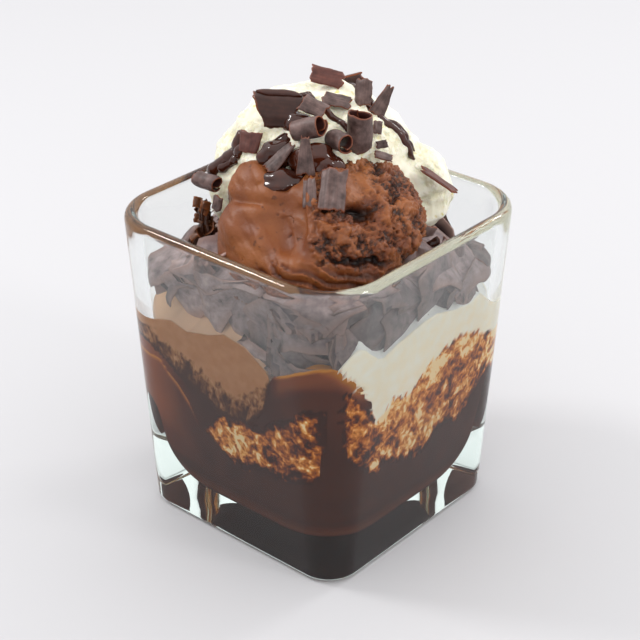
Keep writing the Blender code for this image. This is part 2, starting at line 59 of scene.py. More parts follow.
# %% Colour and node helpers
def to_linear(code):
    """An sRGB hex colour such as '#804020' as a linear RGBA value."""
    channels = [int(code[k:k + 2], 16) / 255 for k in (1, 3, 5)]
    linear = [c / 12.92 if c <= 0.04045 else ((c + 0.055) / 1.055) ** 2.4 for c in channels]
    return (*linear, 1.0)


def fill_inputs(tree, node, inputs):
    """Give a node its inputs: each is a socket to link from, a hex colour or a value."""
    for name, value in inputs.items():
        if isinstance(value, bpy.types.NodeSocket):
            tree.links.new(value, node.inputs[name])
        else:
            is_colour = isinstance(value, str) and value.startswith("#")
            node.inputs[name].default_value = to_linear(value) if is_colour else value


def add_node(tree, kind, settings=None, inputs=None):
    """Add a node.  The setting `stops` gives a ramp its positions with hex colours."""
    node = tree.nodes.new(kind)
    for name, value in (settings or {}).items():
        if name != "stops":
            setattr(node, name, value)
            continue
        elements = node.color_ramp.elements
        while len(elements) < len(value):
            elements.new(0.5)
        for element, (position, code) in zip(elements, value):
            element.position, element.color = position, to_linear(code)
    fill_inputs(tree, node, inputs or {})
    return node


def new_material(name, inputs):
    material = bpy.data.materials.new(name)
    material.use_nodes = True
    shader = material.node_tree.nodes["Principled BSDF"]
    fill_inputs(material.node_tree, shader, inputs)
    return material, material.node_tree, shader


FIRST, SECOND, RESULT = 6, 7, 2      # where a Mix node keeps its colour sockets A, B, Result

# %% [markdown]
# ## Glass
# The tumbler is pressed soda-lime glass: a gob is pushed into a mould, which leaves a
# smooth, slightly green body with a thick base.  Glass is drawn by its refraction, so
# it needs an index of refraction and true inner and outer walls more than a colour.

# %% Pressed soda-lime glass
glass_material, tree, shader = new_material("pressed_soda_lime_glass", {
    "Base Color": "#FBFDFC", "Roughness": 0.0, "IOR": 1.5, "Transmission Weight": 1.0,
    "Specular Tint": "#E8EBEA"})
tint = add_node(tree, "ShaderNodeVolumeAbsorption",
                inputs={"Color": "#D8E8E2", "Density": 11.0})
fill_inputs(tree, tree.nodes["Material Output"], {"Volume": tint.outputs[0]})

# %% [markdown]
# ## Sauce
# Thick chocolate sauce is nearly opaque, with a wet skin.  Where it thins to an edge light
# comes through and it turns amber, so the meshes carry an attribute called `tone`:
# 0 is deep sauce and 1 is a thin amber edge.  Sauce that lies against glass has no skin of
# its own: light passes from one into the other, so that material has no reflection.


# %% Chocolate sauce, wet and against glass
def chocolate_sauce(name, finish, stops):
    material, tree, shader = new_material(name, finish)
    tone = add_node(tree, "ShaderNodeAttribute", {"attribute_name": "tone"}).outputs["Fac"]
    colour = add_node(tree, "ShaderNodeValToRGB", {"stops": stops}, {"Fac": tone})
    fill_inputs(tree, shader, {"Base Color": colour.outputs["Color"]})
    return material


WET = {"Roughness": 0.12, "Specular IOR Level": 0.25, "Coat Weight": 0.5,
       "Coat Roughness": 0.03}
BEHIND_GLASS = {"Roughness": 0.6, "Specular IOR Level": 0.0}
sauce_material = chocolate_sauce("wet_chocolate_sauce", WET, (
    (0.0, "#2B120B"), (0.3, "#4A2011"), (0.6, "#8A4617"), (1.0, "#CC8433")))
sauce_behind_glass = chocolate_sauce("chocolate_sauce_against_glass", BEHIND_GLASS, (
    (0.0, "#3C180C"), (0.25, "#5C2A18"), (0.5, "#8F4C2C"), (0.75, "#C07A2C"),
    (1.0, "#F0A84C")))

# %% [markdown]
# ## Ice cream
# Ice cream is a frozen foam.  Light enters it and comes out a few millimetres away, which
# subsurface scattering copies.  Its fine grain, ice crystals and air bubbles of about half
# a millimetre, is left to a bump, and everything larger is modelled.

# %% Ice cream materials
SPECK_SHARE = 0.34               # how much of the surface is specked, more or less
SPECK_SIZE, PIT_SIZE, GRAIN_SIZE = 2.2, 1.1, 0.8        # millimetres


def ice_cream_material(name, stops, speck_colour, roughness, pit_shade_colour):
    """A foam with its colour by `tone`, small specks, and fine pits where it is `torn`, which are
    painted darker as shade.
    """
    material, tree, shader = new_material(name, {
        "Roughness": roughness, "Specular IOR Level": 0.35, "Subsurface Weight": 0.2,
        "Subsurface Radius": (0.0016, 0.0010, 0.0006), "Subsurface Scale": 1.0})
    place = add_node(tree, "ShaderNodeTexCoord").outputs["Object"]
    tone, torn = [
        add_node(tree, "ShaderNodeAttribute", {"attribute_name": key}).outputs["Fac"]
        for key in ("tone", "torn")]
    specks, pits, grain = [add_node(
        tree, "ShaderNodeTexNoise",
        inputs={"Vector": place, "Scale": 1 / (size * MM), "Detail": detail,
                "Roughness": fineness}).outputs["Fac"]
        for size, detail, fineness in ((SPECK_SIZE, 2.0, 0.5), (PIT_SIZE, 3.0, 0.6),
                                       (GRAIN_SIZE, 4.0, 0.65))]
    speck = add_node(tree, "ShaderNodeMapRange", inputs={
        "Value": specks, "From Min": 1 - SPECK_SHARE, "From Max": 1.06 - SPECK_SHARE})
    pit = add_node(tree, "ShaderNodeMapRange", inputs={
        "Value": pits, "From Min": 0.47, "From Max": 0.55})
    hole = add_node(tree, "ShaderNodeMath", {"operation": 'MULTIPLY'},
                    {0: pit.outputs["Result"], 1: torn}).outputs[0]
    colour = add_node(tree, "ShaderNodeValToRGB", {"stops": stops}, {"Fac": tone})
    specked = add_node(tree, "ShaderNodeMix", {"data_type": 'RGBA'}, {
        "Factor": speck.outputs["Result"], FIRST: colour.outputs["Color"],
        SECOND: speck_colour})
    # The pits are painted darker: painted shade in the hollows.
    shaded_pits = add_node(tree, "ShaderNodeMix", {"data_type": 'RGBA'}, {
        "Factor": hole, FIRST: specked.outputs[RESULT], SECOND: pit_shade_colour})
    height = add_node(tree, "ShaderNodeMath", {"operation": 'MULTIPLY_ADD'},
                      {0: hole, 1: -2.0, 2: grain})
    bump = add_node(tree, "ShaderNodeBump", inputs={
        "Strength": 0.6, "Distance": 0.22 * MM, "Height": height.outputs[0]})
    fill_inputs(tree, shader, {"Base Color": shaded_pits.outputs[RESULT],
                               "Normal": bump.outputs["Normal"]})
    return material


vanilla_material = ice_cream_material("vanilla_ice_cream_foam", (
    (0.0, "#C4BC8C"), (0.35, "#DCD5B0"), (0.7, "#EBE6CE"), (1.0, "#F4F0E2")),
    "#DCD08A", 0.5, "#DDD6B2")
chocolate_material = ice_cream_material("chocolate_ice_cream_foam", (
    (0.0, "#180904"), (0.25, "#3A1A0A"), (0.55, "#6A3414"), (0.8, "#905426"),
    (1.0, "#BC8048")), "#5A2E12", 0.42, "#2E1408")

# %% [markdown]
# ### Where the sauce has run over it
# Against the glass the two substances are marbled far more finely than a mesh can follow.
# The meshes there carry a smooth `cover`, the share of sauce, and `grain`, a place that is
# stretched and turned so that noise read from it comes out as leaning streaks.  The noise
# and the cover together choose a colour between clean ice cream and plain sauce.  The top,
# which touches no glass, is painted paler: painted light, as if it were lit from above.

# %% Marbled ice cream against the glass
# Blotches of about 6 mm and spots of 2 mm: how many to a millimetre, detail, distortion.
BLOTCH, SPOT = (0.17, 3.0, 0.6), (0.50, 2.5, 0.5)
SPOT_WEIGHT = 0.7


def marbled_material(name, stops, contrast, clean_stops, lit_top_colour):
    """Noise and `cover` choose a colour of the stops, and `clean` parts keep their own."""
    material, tree, shader = new_material(name, BEHIND_GLASS)
    place = add_node(tree, "ShaderNodeTexCoord").outputs["Object"]
    grain = add_node(tree, "ShaderNodeAttribute", {"attribute_name": "grain"})
    cover, clean, frost = [
        add_node(tree, "ShaderNodeAttribute", {"attribute_name": key}).outputs["Fac"]
        for key in ("cover", "clean", "frost")]
    blotches, spots = [add_node(
        tree, "ShaderNodeTexNoise",
        inputs={"Vector": grain.outputs["Vector"], "Scale": scale, "Detail": detail,
                "Roughness": 0.6, "Distortion": twist}).outputs["Fac"]
        for scale, detail, twist in (BLOTCH, SPOT)]
    swing = add_node(tree, "ShaderNodeMath", {"operation": 'MULTIPLY_ADD'},
                     {0: spots, 1: SPOT_WEIGHT, 2: blotches})
    total = add_node(tree, "ShaderNodeMath", {"operation": 'MULTIPLY_ADD'},
                     {0: swing.outputs[0], 1: contrast, 2: cover})
    centred = add_node(tree, "ShaderNodeMath", {"operation": 'SUBTRACT'},
                       {0: total.outputs[0], 1: 0.5 * (1 + SPOT_WEIGHT) * contrast})
    marbled = add_node(tree, "ShaderNodeValToRGB", {"stops": stops},
                       {"Fac": centred.outputs[0]})
    clouds = add_node(tree, "ShaderNodeTexNoise", inputs={
        "Vector": place, "Scale": 1 / (3.0 * MM), "Detail": 3.0})
    cream = add_node(tree, "ShaderNodeValToRGB", {"stops": clean_stops},
                     {"Fac": clouds.outputs["Fac"]})
    colour = add_node(tree, "ShaderNodeMix", {"data_type": 'RGBA'}, {
        "Factor": clean, FIRST: marbled.outputs["Color"], SECOND: cream.outputs["Color"]})
    # The top gets a paler colour of its own: painted light.
    topped = add_node(tree, "ShaderNodeMix", {"data_type": 'RGBA'}, {
        "Factor": frost, FIRST: colour.outputs[RESULT], SECOND: lit_top_colour})
    fill_inputs(tree, shader, {"Base Color": topped.outputs[RESULT]})
    return material


stained_vanilla = marbled_material("vanilla_ice_cream_marbled_with_sauce", (
    (0.0, "#FFE2AE"), (0.13, "#F6BC6C"), (0.30, "#DE8834"), (0.52, "#AE5A18"),
    (0.74, "#6C2E10"), (1.0, "#3A160B")),
    2.7, ((0.3, "#FFF4DA"), (0.7, "#FFFBEC")), "#FFFEFA")
stained_chocolate = marbled_material("chocolate_ice_cream_marbled_with_sauce", (
    (0.0, "#BE8C62"), (0.3, "#9C6A42"), (0.55, "#6B3E22"), (0.8, "#48220F"),
    (1.0, "#44200F")),
    2.2, ((0.35, "#B07A50"), (0.7, "#BC8860")), "#E4B894")

# %% [markdown]
# ## Chocolate
# Curls scraped off a cold block have a dull grey bloom of fat and sugar on the face that
# the blade left, a darker inside and a broken, redder edge.  The meshes carry `inside`
# and `edge` attributes for that, and `shade` for the fine lines that the blade drew; in
# the heaps `shade` also carries painted light and shade.

# %% Bloomed chocolate
BLOOM_SIZE, BREAK_SIZE = 2.6, 0.6                       # millimetres


def chocolate_shaving_material(name, face, bloom, inner, broken, roughness, grain, coat=0.0):
    """Scraped chocolate.  A coat of 1 is a film of sauce that hides the bloom's dullness."""
    material, tree, shader = new_material(name, {
        "Roughness": roughness, "IOR": 1.46, "Specular IOR Level": 0.4 - 0.3 * coat,
        "Coat Weight": 0.45 * coat, "Coat Roughness": 0.05})
    place = add_node(tree, "ShaderNodeTexCoord").outputs["Object"]
    inside, edge, shade = [add_node(tree, "ShaderNodeAttribute", {"attribute_name": key})
                           for key in ("inside", "edge", "shade")]
    clouds, breaks = [add_node(
        tree, "ShaderNodeTexNoise",
        inputs={"Vector": place, "Scale": 1 / (size * MM), "Detail": 5.0,
                "Roughness": fineness}).outputs["Fac"]
        for size, fineness in ((BLOOM_SIZE, 0.6), (BREAK_SIZE, 0.65))]
    colour = add_node(tree, "ShaderNodeValToRGB", {"stops": ((0.28, face), (0.70, bloom))},
                      {"Fac": clouds}).outputs["Color"]
    for share, code in ((inside, inner), (edge, broken)):
        colour = add_node(tree, "ShaderNodeMix", {"data_type": 'RGBA'}, {
            "Factor": share.outputs["Fac"], FIRST: colour, SECOND: code}).outputs[RESULT]
    shaded = add_node(tree, "ShaderNodeMix", {"data_type": 'RGBA', "blend_type": 'MULTIPLY'},
                      {"Factor": 1.0, FIRST: colour, SECOND: shade.outputs["Color"]})
    bump = add_node(tree, "ShaderNodeBump", inputs={
        "Strength": grain, "Distance": 0.12 * MM, "Height": breaks})
    fill_inputs(tree, shader, {"Base Color": shaded.outputs[RESULT],
                               "Normal": bump.outputs["Normal"]})
    return material


SHAVINGS = {
    "plain": ("bloomed_chocolate", "#2F1D19", "#705954", "#340E08", "#80401F", 0.45, 0.5),
    "red": ("unbloomed_chocolate", "#3E1913", "#64382E", "#38120C", "#844226", 0.4, 0.5),
    "glossy": ("sauce_wet_chocolate", "#28110A", "#3A1F17", "#200B07", "#7E3C1A", 0.10, 0.06,
               1.0),
    "bed": ("heaped_bloomed_chocolate", "#463638", "#917E7C", "#32242A", "#8A6E66", 0.55, 0.5),
    # Soaked in sauce: brown where it is thin, almost black in the folds, where the core between
    # the flakes is painted darker as shade.
    "soaked": ("sauce_soaked_shavings", "#2A130B", "#6E3F20", "#38190D", "#7E4720", 0.3, 0.5),
}
shaving_materials = {key: chocolate_shaving_material(*look) for key, look in SHAVINGS.items()}
print("materials:", len(bpy.data.materials))

# %% [markdown]
# ## Making meshes
# Most pieces are lists of points that follow a rule.  This helper turns such a list into
# an object with smooth shading, outward faces and any named attributes.  Work is done in
# millimetres, and the object itself stays at the origin with its place in its mesh.


# %% Mesh helper
def make_piece(name, points, faces, material, attributes=None):
    """An object from points in millimetres, with one value a point for each attribute."""
    mesh = bpy.data.meshes.new(name)
    mesh.from_pydata([Vector(p) * MM for p in points], [], faces)
    for key, values in (attributes or {}).items():
        if isinstance(values[0], Vector):
            layer = mesh.attributes.new(key, 'FLOAT_VECTOR', 'POINT')
            layer.data.foreach_set("vector", [c for value in values for c in value])
        else:
            layer = mesh.attributes.new(key, 'FLOAT', 'POINT')
            layer.data.foreach_set("value", values)
    bm = bmesh.new()
    bm.from_mesh(mesh)
    bmesh.ops.recalc_face_normals(bm, faces=bm.faces)
    bm.to_mesh(mesh)
    bm.free()
    mesh.materials.append(material)
    mesh.shade_smooth()
    piece = bpy.data.objects.new(name, mesh)
    scene.collection.objects.link(piece)
    return piece


def settle(piece, slot, *nodes):
    """Attach a finished piece to the body, and let it stand for its solids."""
    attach(piece, "root")
    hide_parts(*nodes)
    print("%-24s %6d faces" % (piece.name, len(piece.data.polygons)))


def worked_out(source):
    """A plain mesh of an object with its curve or its modifiers worked out."""
    graph = bpy.context.evaluated_depsgraph_get()
    return bpy.data.meshes.new_from_object(source.evaluated_get(graph))


def smooth_step(low, high, value):
    """0 below low, 1 above high, with a soft change between them."""
    t = min(max((value - low) / (high - low), 0.0), 1.0)
    return t * t * (3 - 2 * t)


def read_table(table, x):
    """The value at x of a line through (x, value) points."""
    for (x0, v0), (x1, v1) in zip(table, table[1:]):
        if x < x1:
            return v0 + (v1 - v0) * min(max((x - x0) / (x1 - x0), 0.0), 1.0)
    return table[-1][1]


# %% [markdown]
# ## The tumbler
# The glass widens upward and its corners get rounder.  Every horizontal section is a
# rounded square, so the whole glass is one loft: up the outside, over the rim and down
# the inside.  The sections are dense because refraction shows every facet.

# %% The glass's sections
GLASS_HEIGHT = 81.4
BASE_WIDTH, RIM_WIDTH = 63.8, 75.2
BASE_CORNER, RIM_CORNER = 8.2, 15.8
BASE_EDGE = 1.6
WALL = 3.4
FLOOR_HEIGHT, FLOOR_FILLET = 6.8, 11.0
FOOT_WALL = (2.4, 45.0)      # extra wall at the foot, and the height where it has run out
FOOT_ROUNDING = (9.0, 62.0)  # the same for the extra corner radius of the cavity
LIP_HEIGHT = 2.0


def blend(low, high, z):
    return low + (high - low) * z / GLASS_HEIGHT


def outer_half(z):
    return blend(BASE_WIDTH, RIM_WIDTH, z) / 2


def outer_corner(z):
    return blend(BASE_CORNER, RIM_CORNER, z)


def foot_extra(amount, z):
    """An amount of glass at the foot that runs out smoothly at its height."""
    largest, height = amount
    return largest * max(0.0, 1 - z / height) ** 2


def inner_half(z):
    return outer_half(z) - WALL - foot_extra(FOOT_WALL, z)


def inner_corner(z):
    return blend(BASE_CORNER + 0.6, RIM_CORNER - WALL, z) + foot_extra(FOOT_ROUNDING, z)


def floor_section(degrees, out=0.0):
    """Half width, corner and height round the cavity's floor edge, or out beyond it."""
    angle = math.radians(degrees)
    z = FLOOR_HEIGHT + FLOOR_FILLET * (1 - math.cos(angle)) - out * math.cos(angle)
    inset = FLOOR_FILLET * (1 - math.sin(angle)) - out * math.sin(angle)
    return inner_half(z) - inset, inner_corner(z) - inset, z


def section_steps(corner_steps, side_steps):
    """Where a section's points lie: quarter, angle round the corner, share of the side."""
    steps = []
    for quarter in range(4):
        steps += [(quarter, math.pi / 2 * k / corner_steps, None)
                  for k in range(corner_steps + 1)]
        steps += [(quarter, None, k / side_steps) for k in range(1, side_steps)]
    return steps


def section_point(step, half, corner, z):
    quarter, angle, share = step
    middle = half - corner
    if share is None:
        x, y = middle + corner * math.cos(angle), middle + corner * math.sin(angle)
    else:
        x, y = middle - 2 * middle * share, half
    for _ in range(quarter):
        x, y = -y, x
    return (x, y, z)


def loft(rows):
    """Points and faces of a closed solid through rows of equal length."""
    count = len(rows[0])
    points = [p for row in rows for p in row]
    faces = []
    for r in range(len(rows) - 1):
        for k in range(count):
            after = (k + 1) % count
            faces.append((r * count + k, r * count + after,
                          (r + 1) * count + after, (r + 1) * count + k))
    for start, row in ((0, rows[0]), (len(points) - count, rows[-1])):
        points.append(tuple(sum(p[axis] for p in row) / count for axis in range(3)))
        faces += [(start + k, start + (k + 1) % count, len(points) - 1) for k in range(count)]
    return points, faces


# %% The glass
GLASS_STEPS = section_steps(24, 12)
profile = []
# The rounded edge that it stands on, and up the outside.
for degrees in range(0, 91, 10):
    angle = math.radians(degrees)
    z = BASE_EDGE * (1 - math.cos(angle))
    inset = BASE_EDGE * (1 - math.sin(angle))
    profile.append((outer_half(z) - inset, outer_corner(z), z))
profile += [(outer_half(z), outer_corner(z), z) for z in range(6, 78, 6)]
# Over the lip, which is half an ellipse.
shoulder = GLASS_HEIGHT - LIP_HEIGHT
for degrees in range(0, 181, 12):
    angle = math.radians(degrees)
    inset = WALL / 2 * (1 - math.cos(angle))
    profile.append((outer_half(shoulder) - inset, outer_corner(shoulder) - inset,
                    shoulder + LIP_HEIGHT * math.sin(angle)))
# Down the inside and round to the floor.
profile += [(inner_half(z), inner_corner(z), z) for z in range(76, 18, -3)]
profile += [floor_section(degrees) for degrees in range(90, -1, -5)]
rows = [[section_point(step, *section) for step in GLASS_STEPS] for section in profile]
points, faces = loft(rows)
glass = make_piece("tumbler", points, faces, glass_material)
settle(glass, "clear_glass", "glass")

# %% [markdown]
# ## What shows through the glass
# Food that touches glass wets it, with no air between.  If the food stopped short of the
# wall, the gap would mirror like silver, so every filling reaches a few hundredths of a
# millimetre into the glass.  The substances then overlap like layers of paint: the one that
# reaches furthest out shows, and where it draws back the sauce behind it shows instead.
#
# The layers' outlines are tables.  Their first number is `along`, the distance along the
# wall from the glass's front corner: below zero on the left side and above it on the right.
# It is x + y, which also mirrors the layers onto the two walls at the back.

# %% Outlines of the layers at the wall
CHOCOLATE_TOP = ((-61, 53.5), (-56, 55.1), (-48, 57.8), (-43, 56.5), (-36, 58.3), (-31, 60.4),
                 (-25, 59.3), (-21.5, 57.1), (-18.6, 55.0), (-16, 50))
CHOCOLATE_BAND_BOTTOM = ((-61, 54.5), (-56, 52.8), (-52, 50.8), (-46, 49.3), (-38, 46.2),
                         (-32, 44.7), (-29, 43.7), (-25, 46.1), (-20, 50.1), (-17.5, 53.8))
CHOCOLATE_STREAK_BOTTOM = ((-61, 50), (-56, 47.3), (-51.5, 44.8), (-45, 40.0), (-39, 38.9),
                           (-36, 36.6), (-32, 36.6), (-27, 37.3), (-25, 37.7), (-20, 43),
                           (-17.5, 52))
LIT_SAUCE_LINE = ((-61, 43.5), (-58, 44.2), (-54, 45.2), (-52, 42.3), (-49, 39.8), (-46, 35.7),
                  (-44, 30))
# On the right, the stained patch ends where the clean cream-coloured ice cream begins.
SEAM_ON_RIGHT = ((12.8, 41.9), (15.6, 43.4), (19, 45.7), (25, 44.7), (28, 47.0), (32, 49.9),
                 (37.5, 51.4), (41, 52.5), (47, 52.1), (52, 50.2), (58, 46.1), (61, 45))
PATCH_TOP = ((-40, 29.5), (-36, 34.2), (-27, 36.4), (-20, 37.4), (-12.4, 43.6), (-7.5, 47.1),
             (-2, 48.6), (0, 49), (4.8, 53.9), (9, 47.8), *SEAM_ON_RIGHT)
PATCH_BOTTOM = ((-40, 29.0), (-38, 26.6), (-33, 24.2), (-27, 23.2), (-21, 25.3), (-9, 25.5),
                (-3, 27.6), (0.5, 51.3), (1.3, 42.6), (3.8, 34.3), (7.2, 29.3), (12.7, 26.5),
                (14.7, 28.6), (21, 26.0), (30, 23.7), (35, 24.0), (38, 27.9), (43, 27.7),
                (49, 26.1), (53, 28.8), (57.5, 35.9), (61, 38))
WHITE_TOP = ((-18, 50), (-2, 57), (0.5, 60.5), (2.5, 62.9), (5, 65.4), (7, 66.6), (9, 66.2),
             (11, 64.0), (13, 62.0), (15, 61.3), (19, 62.8), (28, 64.7), (33.5, 65.0),
             (40, 63.0), (46, 62.1), (50, 63.3), (57, 56.7), (61, 55))
WHITE_BOTTOM = ((-0.6, 61), (-0.2, 60.0), (4.8, 56.8), (8, 53.8), (10.6, 49.6),
                *SEAM_ON_RIGHT)
SAUCE_TOP = ((-61, 53.5), (-52, 51), (-46, 47), (-40, 46), (-20, 46), (-18.5, 51),
             (-16.8, 54.3), (-9.7, 58.5), (-3.6, 60.6), (0.8, 60.6), (4.8, 57.6), (8, 54.8),
             (10.6, 50.8), (13.4, 42.8), (28, 46), (41, 50), (61, 44))
SAUCE_REACH = 0.06         # how far each layer reaches into the glass's wall
FOOD_REACH = 0.12
WALL_STEPS = section_steps(18, 104)


def wall_place(step, z, out):
    """A point that lies out beyond the cavity's wall, in millimetres."""
    return section_point(step, inner_half(z) + out, inner_corner(z) + out, z)


def turned(along, z, lean):
    """The wall's coordinates turned by an angle: along a streak, and across it."""
    angle = math.radians(lean)
    return (along * math.cos(angle) + z * math.sin(angle),
            z * math.cos(angle) - along * math.sin(angle))


def streaks(along, z, lean, size, seed):
    """Uneven stripes that lean by an angle, and are long one way and narrow the other."""
    u, v = turned(along, z, lean)
    coarse = noise.fractal(Vector((u / (2.6 * size), v / size, seed)), 1.0, 2.0, 3)
    fine = noise.noise(Vector((u / size, v / (0.5 * size), seed + 9)))
    return coarse + 0.4 * fine


def to_cavity(x, y, z, room):
    """The nearest place that lies at least some room inside the cavity's wall."""
    half, corner = inner_half(z) - room, inner_corner(z) - room
    middle = half - corner
    past_x, past_y = abs(x) - middle, abs(y) - middle
    if past_x > 0 and past_y > 0:
        reach = min(corner / math.hypot(past_x, past_y), 1.0)
        past_x, past_y = past_x * reach, past_y * reach
    return (math.copysign(middle + min(past_x, corner), x),
            math.copysign(middle + min(past_y, corner), y), z)


# %% A body against the wall
WALL_ROWS = 88
CROWN_RINGS = (0.985, 0.95, 0.9, 0.84, 0.76, 0.66, 0.5, 0.3, 0.12)
MIDDLE_OF_WALL = 45         # the height at which `along` is measured
LARGEST_SHIFT, SHIFT_LENGTH = 11.0, 17


def along_wall(step):
    """`along` of a step.  The hidden walls repeat the others with an uneven shift."""
    x, y, _ = wall_place(step, MIDDLE_OF_WALL, 0)
    shift = LARGEST_SHIFT * noise.noise(Vector(((x + y) / SHIFT_LENGTH, 3.3, 0.6)))
    return x + y + shift * smooth_step(2, 24, y - x)


def wall_body(name, bottom, top_of, layer_of, material, crown, below=()):
    """A closed body up to top_of(along).  layer_of(along, z) gives reach and attributes."""
    rows = [list(row) for row in below]
    values = [layer_of(0.0, row[0][2])[1] for row in rows for _ in row]
    starts = [along_wall(step) for step in WALL_STEPS]
    for r in range(WALL_ROWS + 1):
        row = []
        for step, along in zip(WALL_STEPS, starts):
            z = bottom + (top_of(along) - bottom) * r / WALL_ROWS
            reach, value = layer_of(along, z)
            x, y, z = wall_place(step, z, reach)
            row.append((x, y, z))
            if "grain" in value:        # at two corners `along` hardly changes, but x - y does
                value["grain"].z += 0.8 * min(max(x - y, -12.0), 12.0)
            values.append(value)
        rows.append(row)
    # The top: rings that shrink toward the middle, lumpy and a little raised.
    edge, edge_values = rows[-1], values[-len(rows[-1]):]
    # The top's rings are painted paler: painted light on the top.
    crown_values = [{**value, "frost": 1.0} if "frost" in value else value
                    for value in edge_values]
    for shrink in CROWN_RINGS:
        row = []
        for x, y, z in edge:
            x, y = x * shrink, y * shrink
            lumps = noise.fractal(Vector((x / 6, y / 6, z / 9)), 1.0, 2.0, 3)
            rise = crown * (1 - smooth_step(0.72, 1.0, shrink))
            row.append((x, y, z + rise + 1.2 * lumps * (1 - shrink) ** 0.3))
        rows.append(row)
        values += crown_values
    points, faces = loft(rows)
    values += [values[0], crown_values[0]]
    return make_piece(name, points, faces, material,
                      {key: [value[key] for value in values] for key in values[0]})


# %% [markdown]
# ## The sauce
# The sauce fills the floor of the cavity and climbs highest at the front corner, where it
# ends in a thin amber edge with a highlight painted along it.  On the left a lit edge, a
# painted highlight, runs down the wall.

# %% Sauce
def sauce_layer(along, z):
    """How far the sauce reaches out, and how thin and so how amber it looks there."""
    # Under its crest at the front corner it thins to amber, above a band of brown.
    near_crest = smooth_step(-19, -14, along) * (1 - smooth_step(7, 12, along))
    from_edge = read_table(SAUCE_TOP, along) - z
    from_edge += 0.8 * noise.noise(Vector((along / 5, z / 3, 8.0)))
    amber = 0.30 + 0.42 * smooth_step(-8, 3, along)
    amber *= 1 - smooth_step(0.0, 5.0 + 3.0 * smooth_step(-12, 3, along), from_edge)
    brown = 0.40 * (1 - smooth_step(2.5, 9.0, from_edge))
    amber = near_crest * max(amber, brown)
    # A highlight painted along the crest's very edge.
    rim_light = near_crest * (1 - smooth_step(0.1, 1.5, from_edge)) * 0.78
    # On the left a lit edge runs down the wall, and the sauce beside it is thin.
    line = read_table(LIT_SAUCE_LINE, along) - z
    on_left = 1 - smooth_step(-47, -43, along)
    lit_edge = on_left * smooth_step(-0.3, 0.2, line) * (1 - smooth_step(0.3, 4.5, line) ** 0.6)
    thin = 0.42 * (1 - smooth_step(-59, -41, along)) * smooth_step(8, 34, z) + 0.04
    thin += 0.10 * (1 - smooth_step(8, 16, abs(along + 2))) * smooth_step(38, 48, z)
    cloud = 0.05 * noise.noise(Vector((along / 6, z / 6, 3.0)))
    # At the rounded floor light passes beside it through the foot.
    at_floor = 0.30 * smooth_step(8, 9.5, z) * (1 - smooth_step(10.5, 15, z))
    tone = max(thin + cloud, amber, lit_edge * 0.72, rim_light, at_floor)
    return SAUCE_REACH, {"tone": min(max(tone, 0.0), 1.0)}


floor_rows = [[section_point(step, *floor_section(degrees, SAUCE_REACH))
               for step in WALL_STEPS] for degrees in range(0, 86, 6)]
sauce = wall_body("sauce_filling", FLOOR_HEIGHT + FLOOR_FILLET,
                  lambda along: read_table(SAUCE_TOP, along), sauce_layer, sauce_behind_glass,
                  crown=-1.5, below=floor_rows)
settle(sauce, "chocolate_sauce", "chocolate_sauce")

# %% [markdown]
# ## The ice cream in the glass
# Both helpings were pressed against the wall and have partly melted into the sauce.  Above,
# each is clean.  Below, sauce has run over it in leaning streaks, down to where the ice
# cream draws back from the wall and only sauce is left.


# %% Cream-coloured ice cream against the wall
DRAWN_BACK = 0.9            # how far behind the glass the hidden ice cream lies
VANILLA_BOTTOM, CHOCOLATE_BOTTOM = 19.0, 34.0
# Degrees that the stains lean by: in the patch left and right of the front corner, along
# the ragged lower edge of the clean part, and in the chocolate ice cream.
LEFT_LEAN, RIGHT_LEAN, EDGE_LEAN, CHOCOLATE_LEAN = -30, 50, 60, 78


def white_layer(along, z):
    """Clean above its ragged lower edge, and under that a patch that sauce has run over."""
    u, v = turned(along, z, RIGHT_LEAN if along > 0 else LEFT_LEAN)
    stretch = (1.05, 1.0) if along > 0 else (1.0, 0.9)
    grain = Vector((u / stretch[0], v / stretch[1], 3.0 if along > 0 else 40.0))
    above = z - read_table(WHITE_BOTTOM, along)
    ragged = above + 1.5 * streaks(along, z, EDGE_LEAN, 1.5, 5.0)
    if along > -0.6 and ragged > -0.5:
        return FOOD_REACH, {"cover": 0.35, "clean": smooth_step(-0.3, 0.5, ragged),
                            "grain": grain, "frost": 0.0}
    inside = min(z - read_table(PATCH_BOTTOM, along), read_table(PATCH_TOP, along) + 1.0 - z)
    if along < 0:
        inside = min(inside, (along + 41) * 0.8, -1.2 - along)
        cover = 0.28 + 0.26 * smooth_step(-29, -20, along)
    else:
        inside = min(inside, (along - 2.2) * 1.2)
        cover = 0.27 + 0.12 * smooth_step(2, 9, -above) + 0.10 * smooth_step(34, 48, along)
        cover -= 0.30 * (1 - smooth_step(0, 3, -above))
        cover += 0.25 * (1 - smooth_step(8, 13, along)) * (1 - smooth_step(44, 48, z))
    inside += 1.5 * noise.fractal(Vector((along / 2.2, z / 2.6, 6.0)), 0.8, 2.0, 3)
    cover += 0.75 * (1 - smooth_step(0.0, 2.6, inside))
    reach = FOOD_REACH if inside > -0.4 else -DRAWN_BACK
    return reach, {"cover": cover, "clean": 0.0, "grain": grain, "frost": 0.0}


lower_vanilla = wall_body("pressed_vanilla", VANILLA_BOTTOM,
                          lambda along: read_table(WHITE_TOP, along) - 1.8, white_layer,
                          stained_vanilla, crown=6.0)
settle(lower_vanilla, "vanilla_ice_cream", "lower_vanilla")


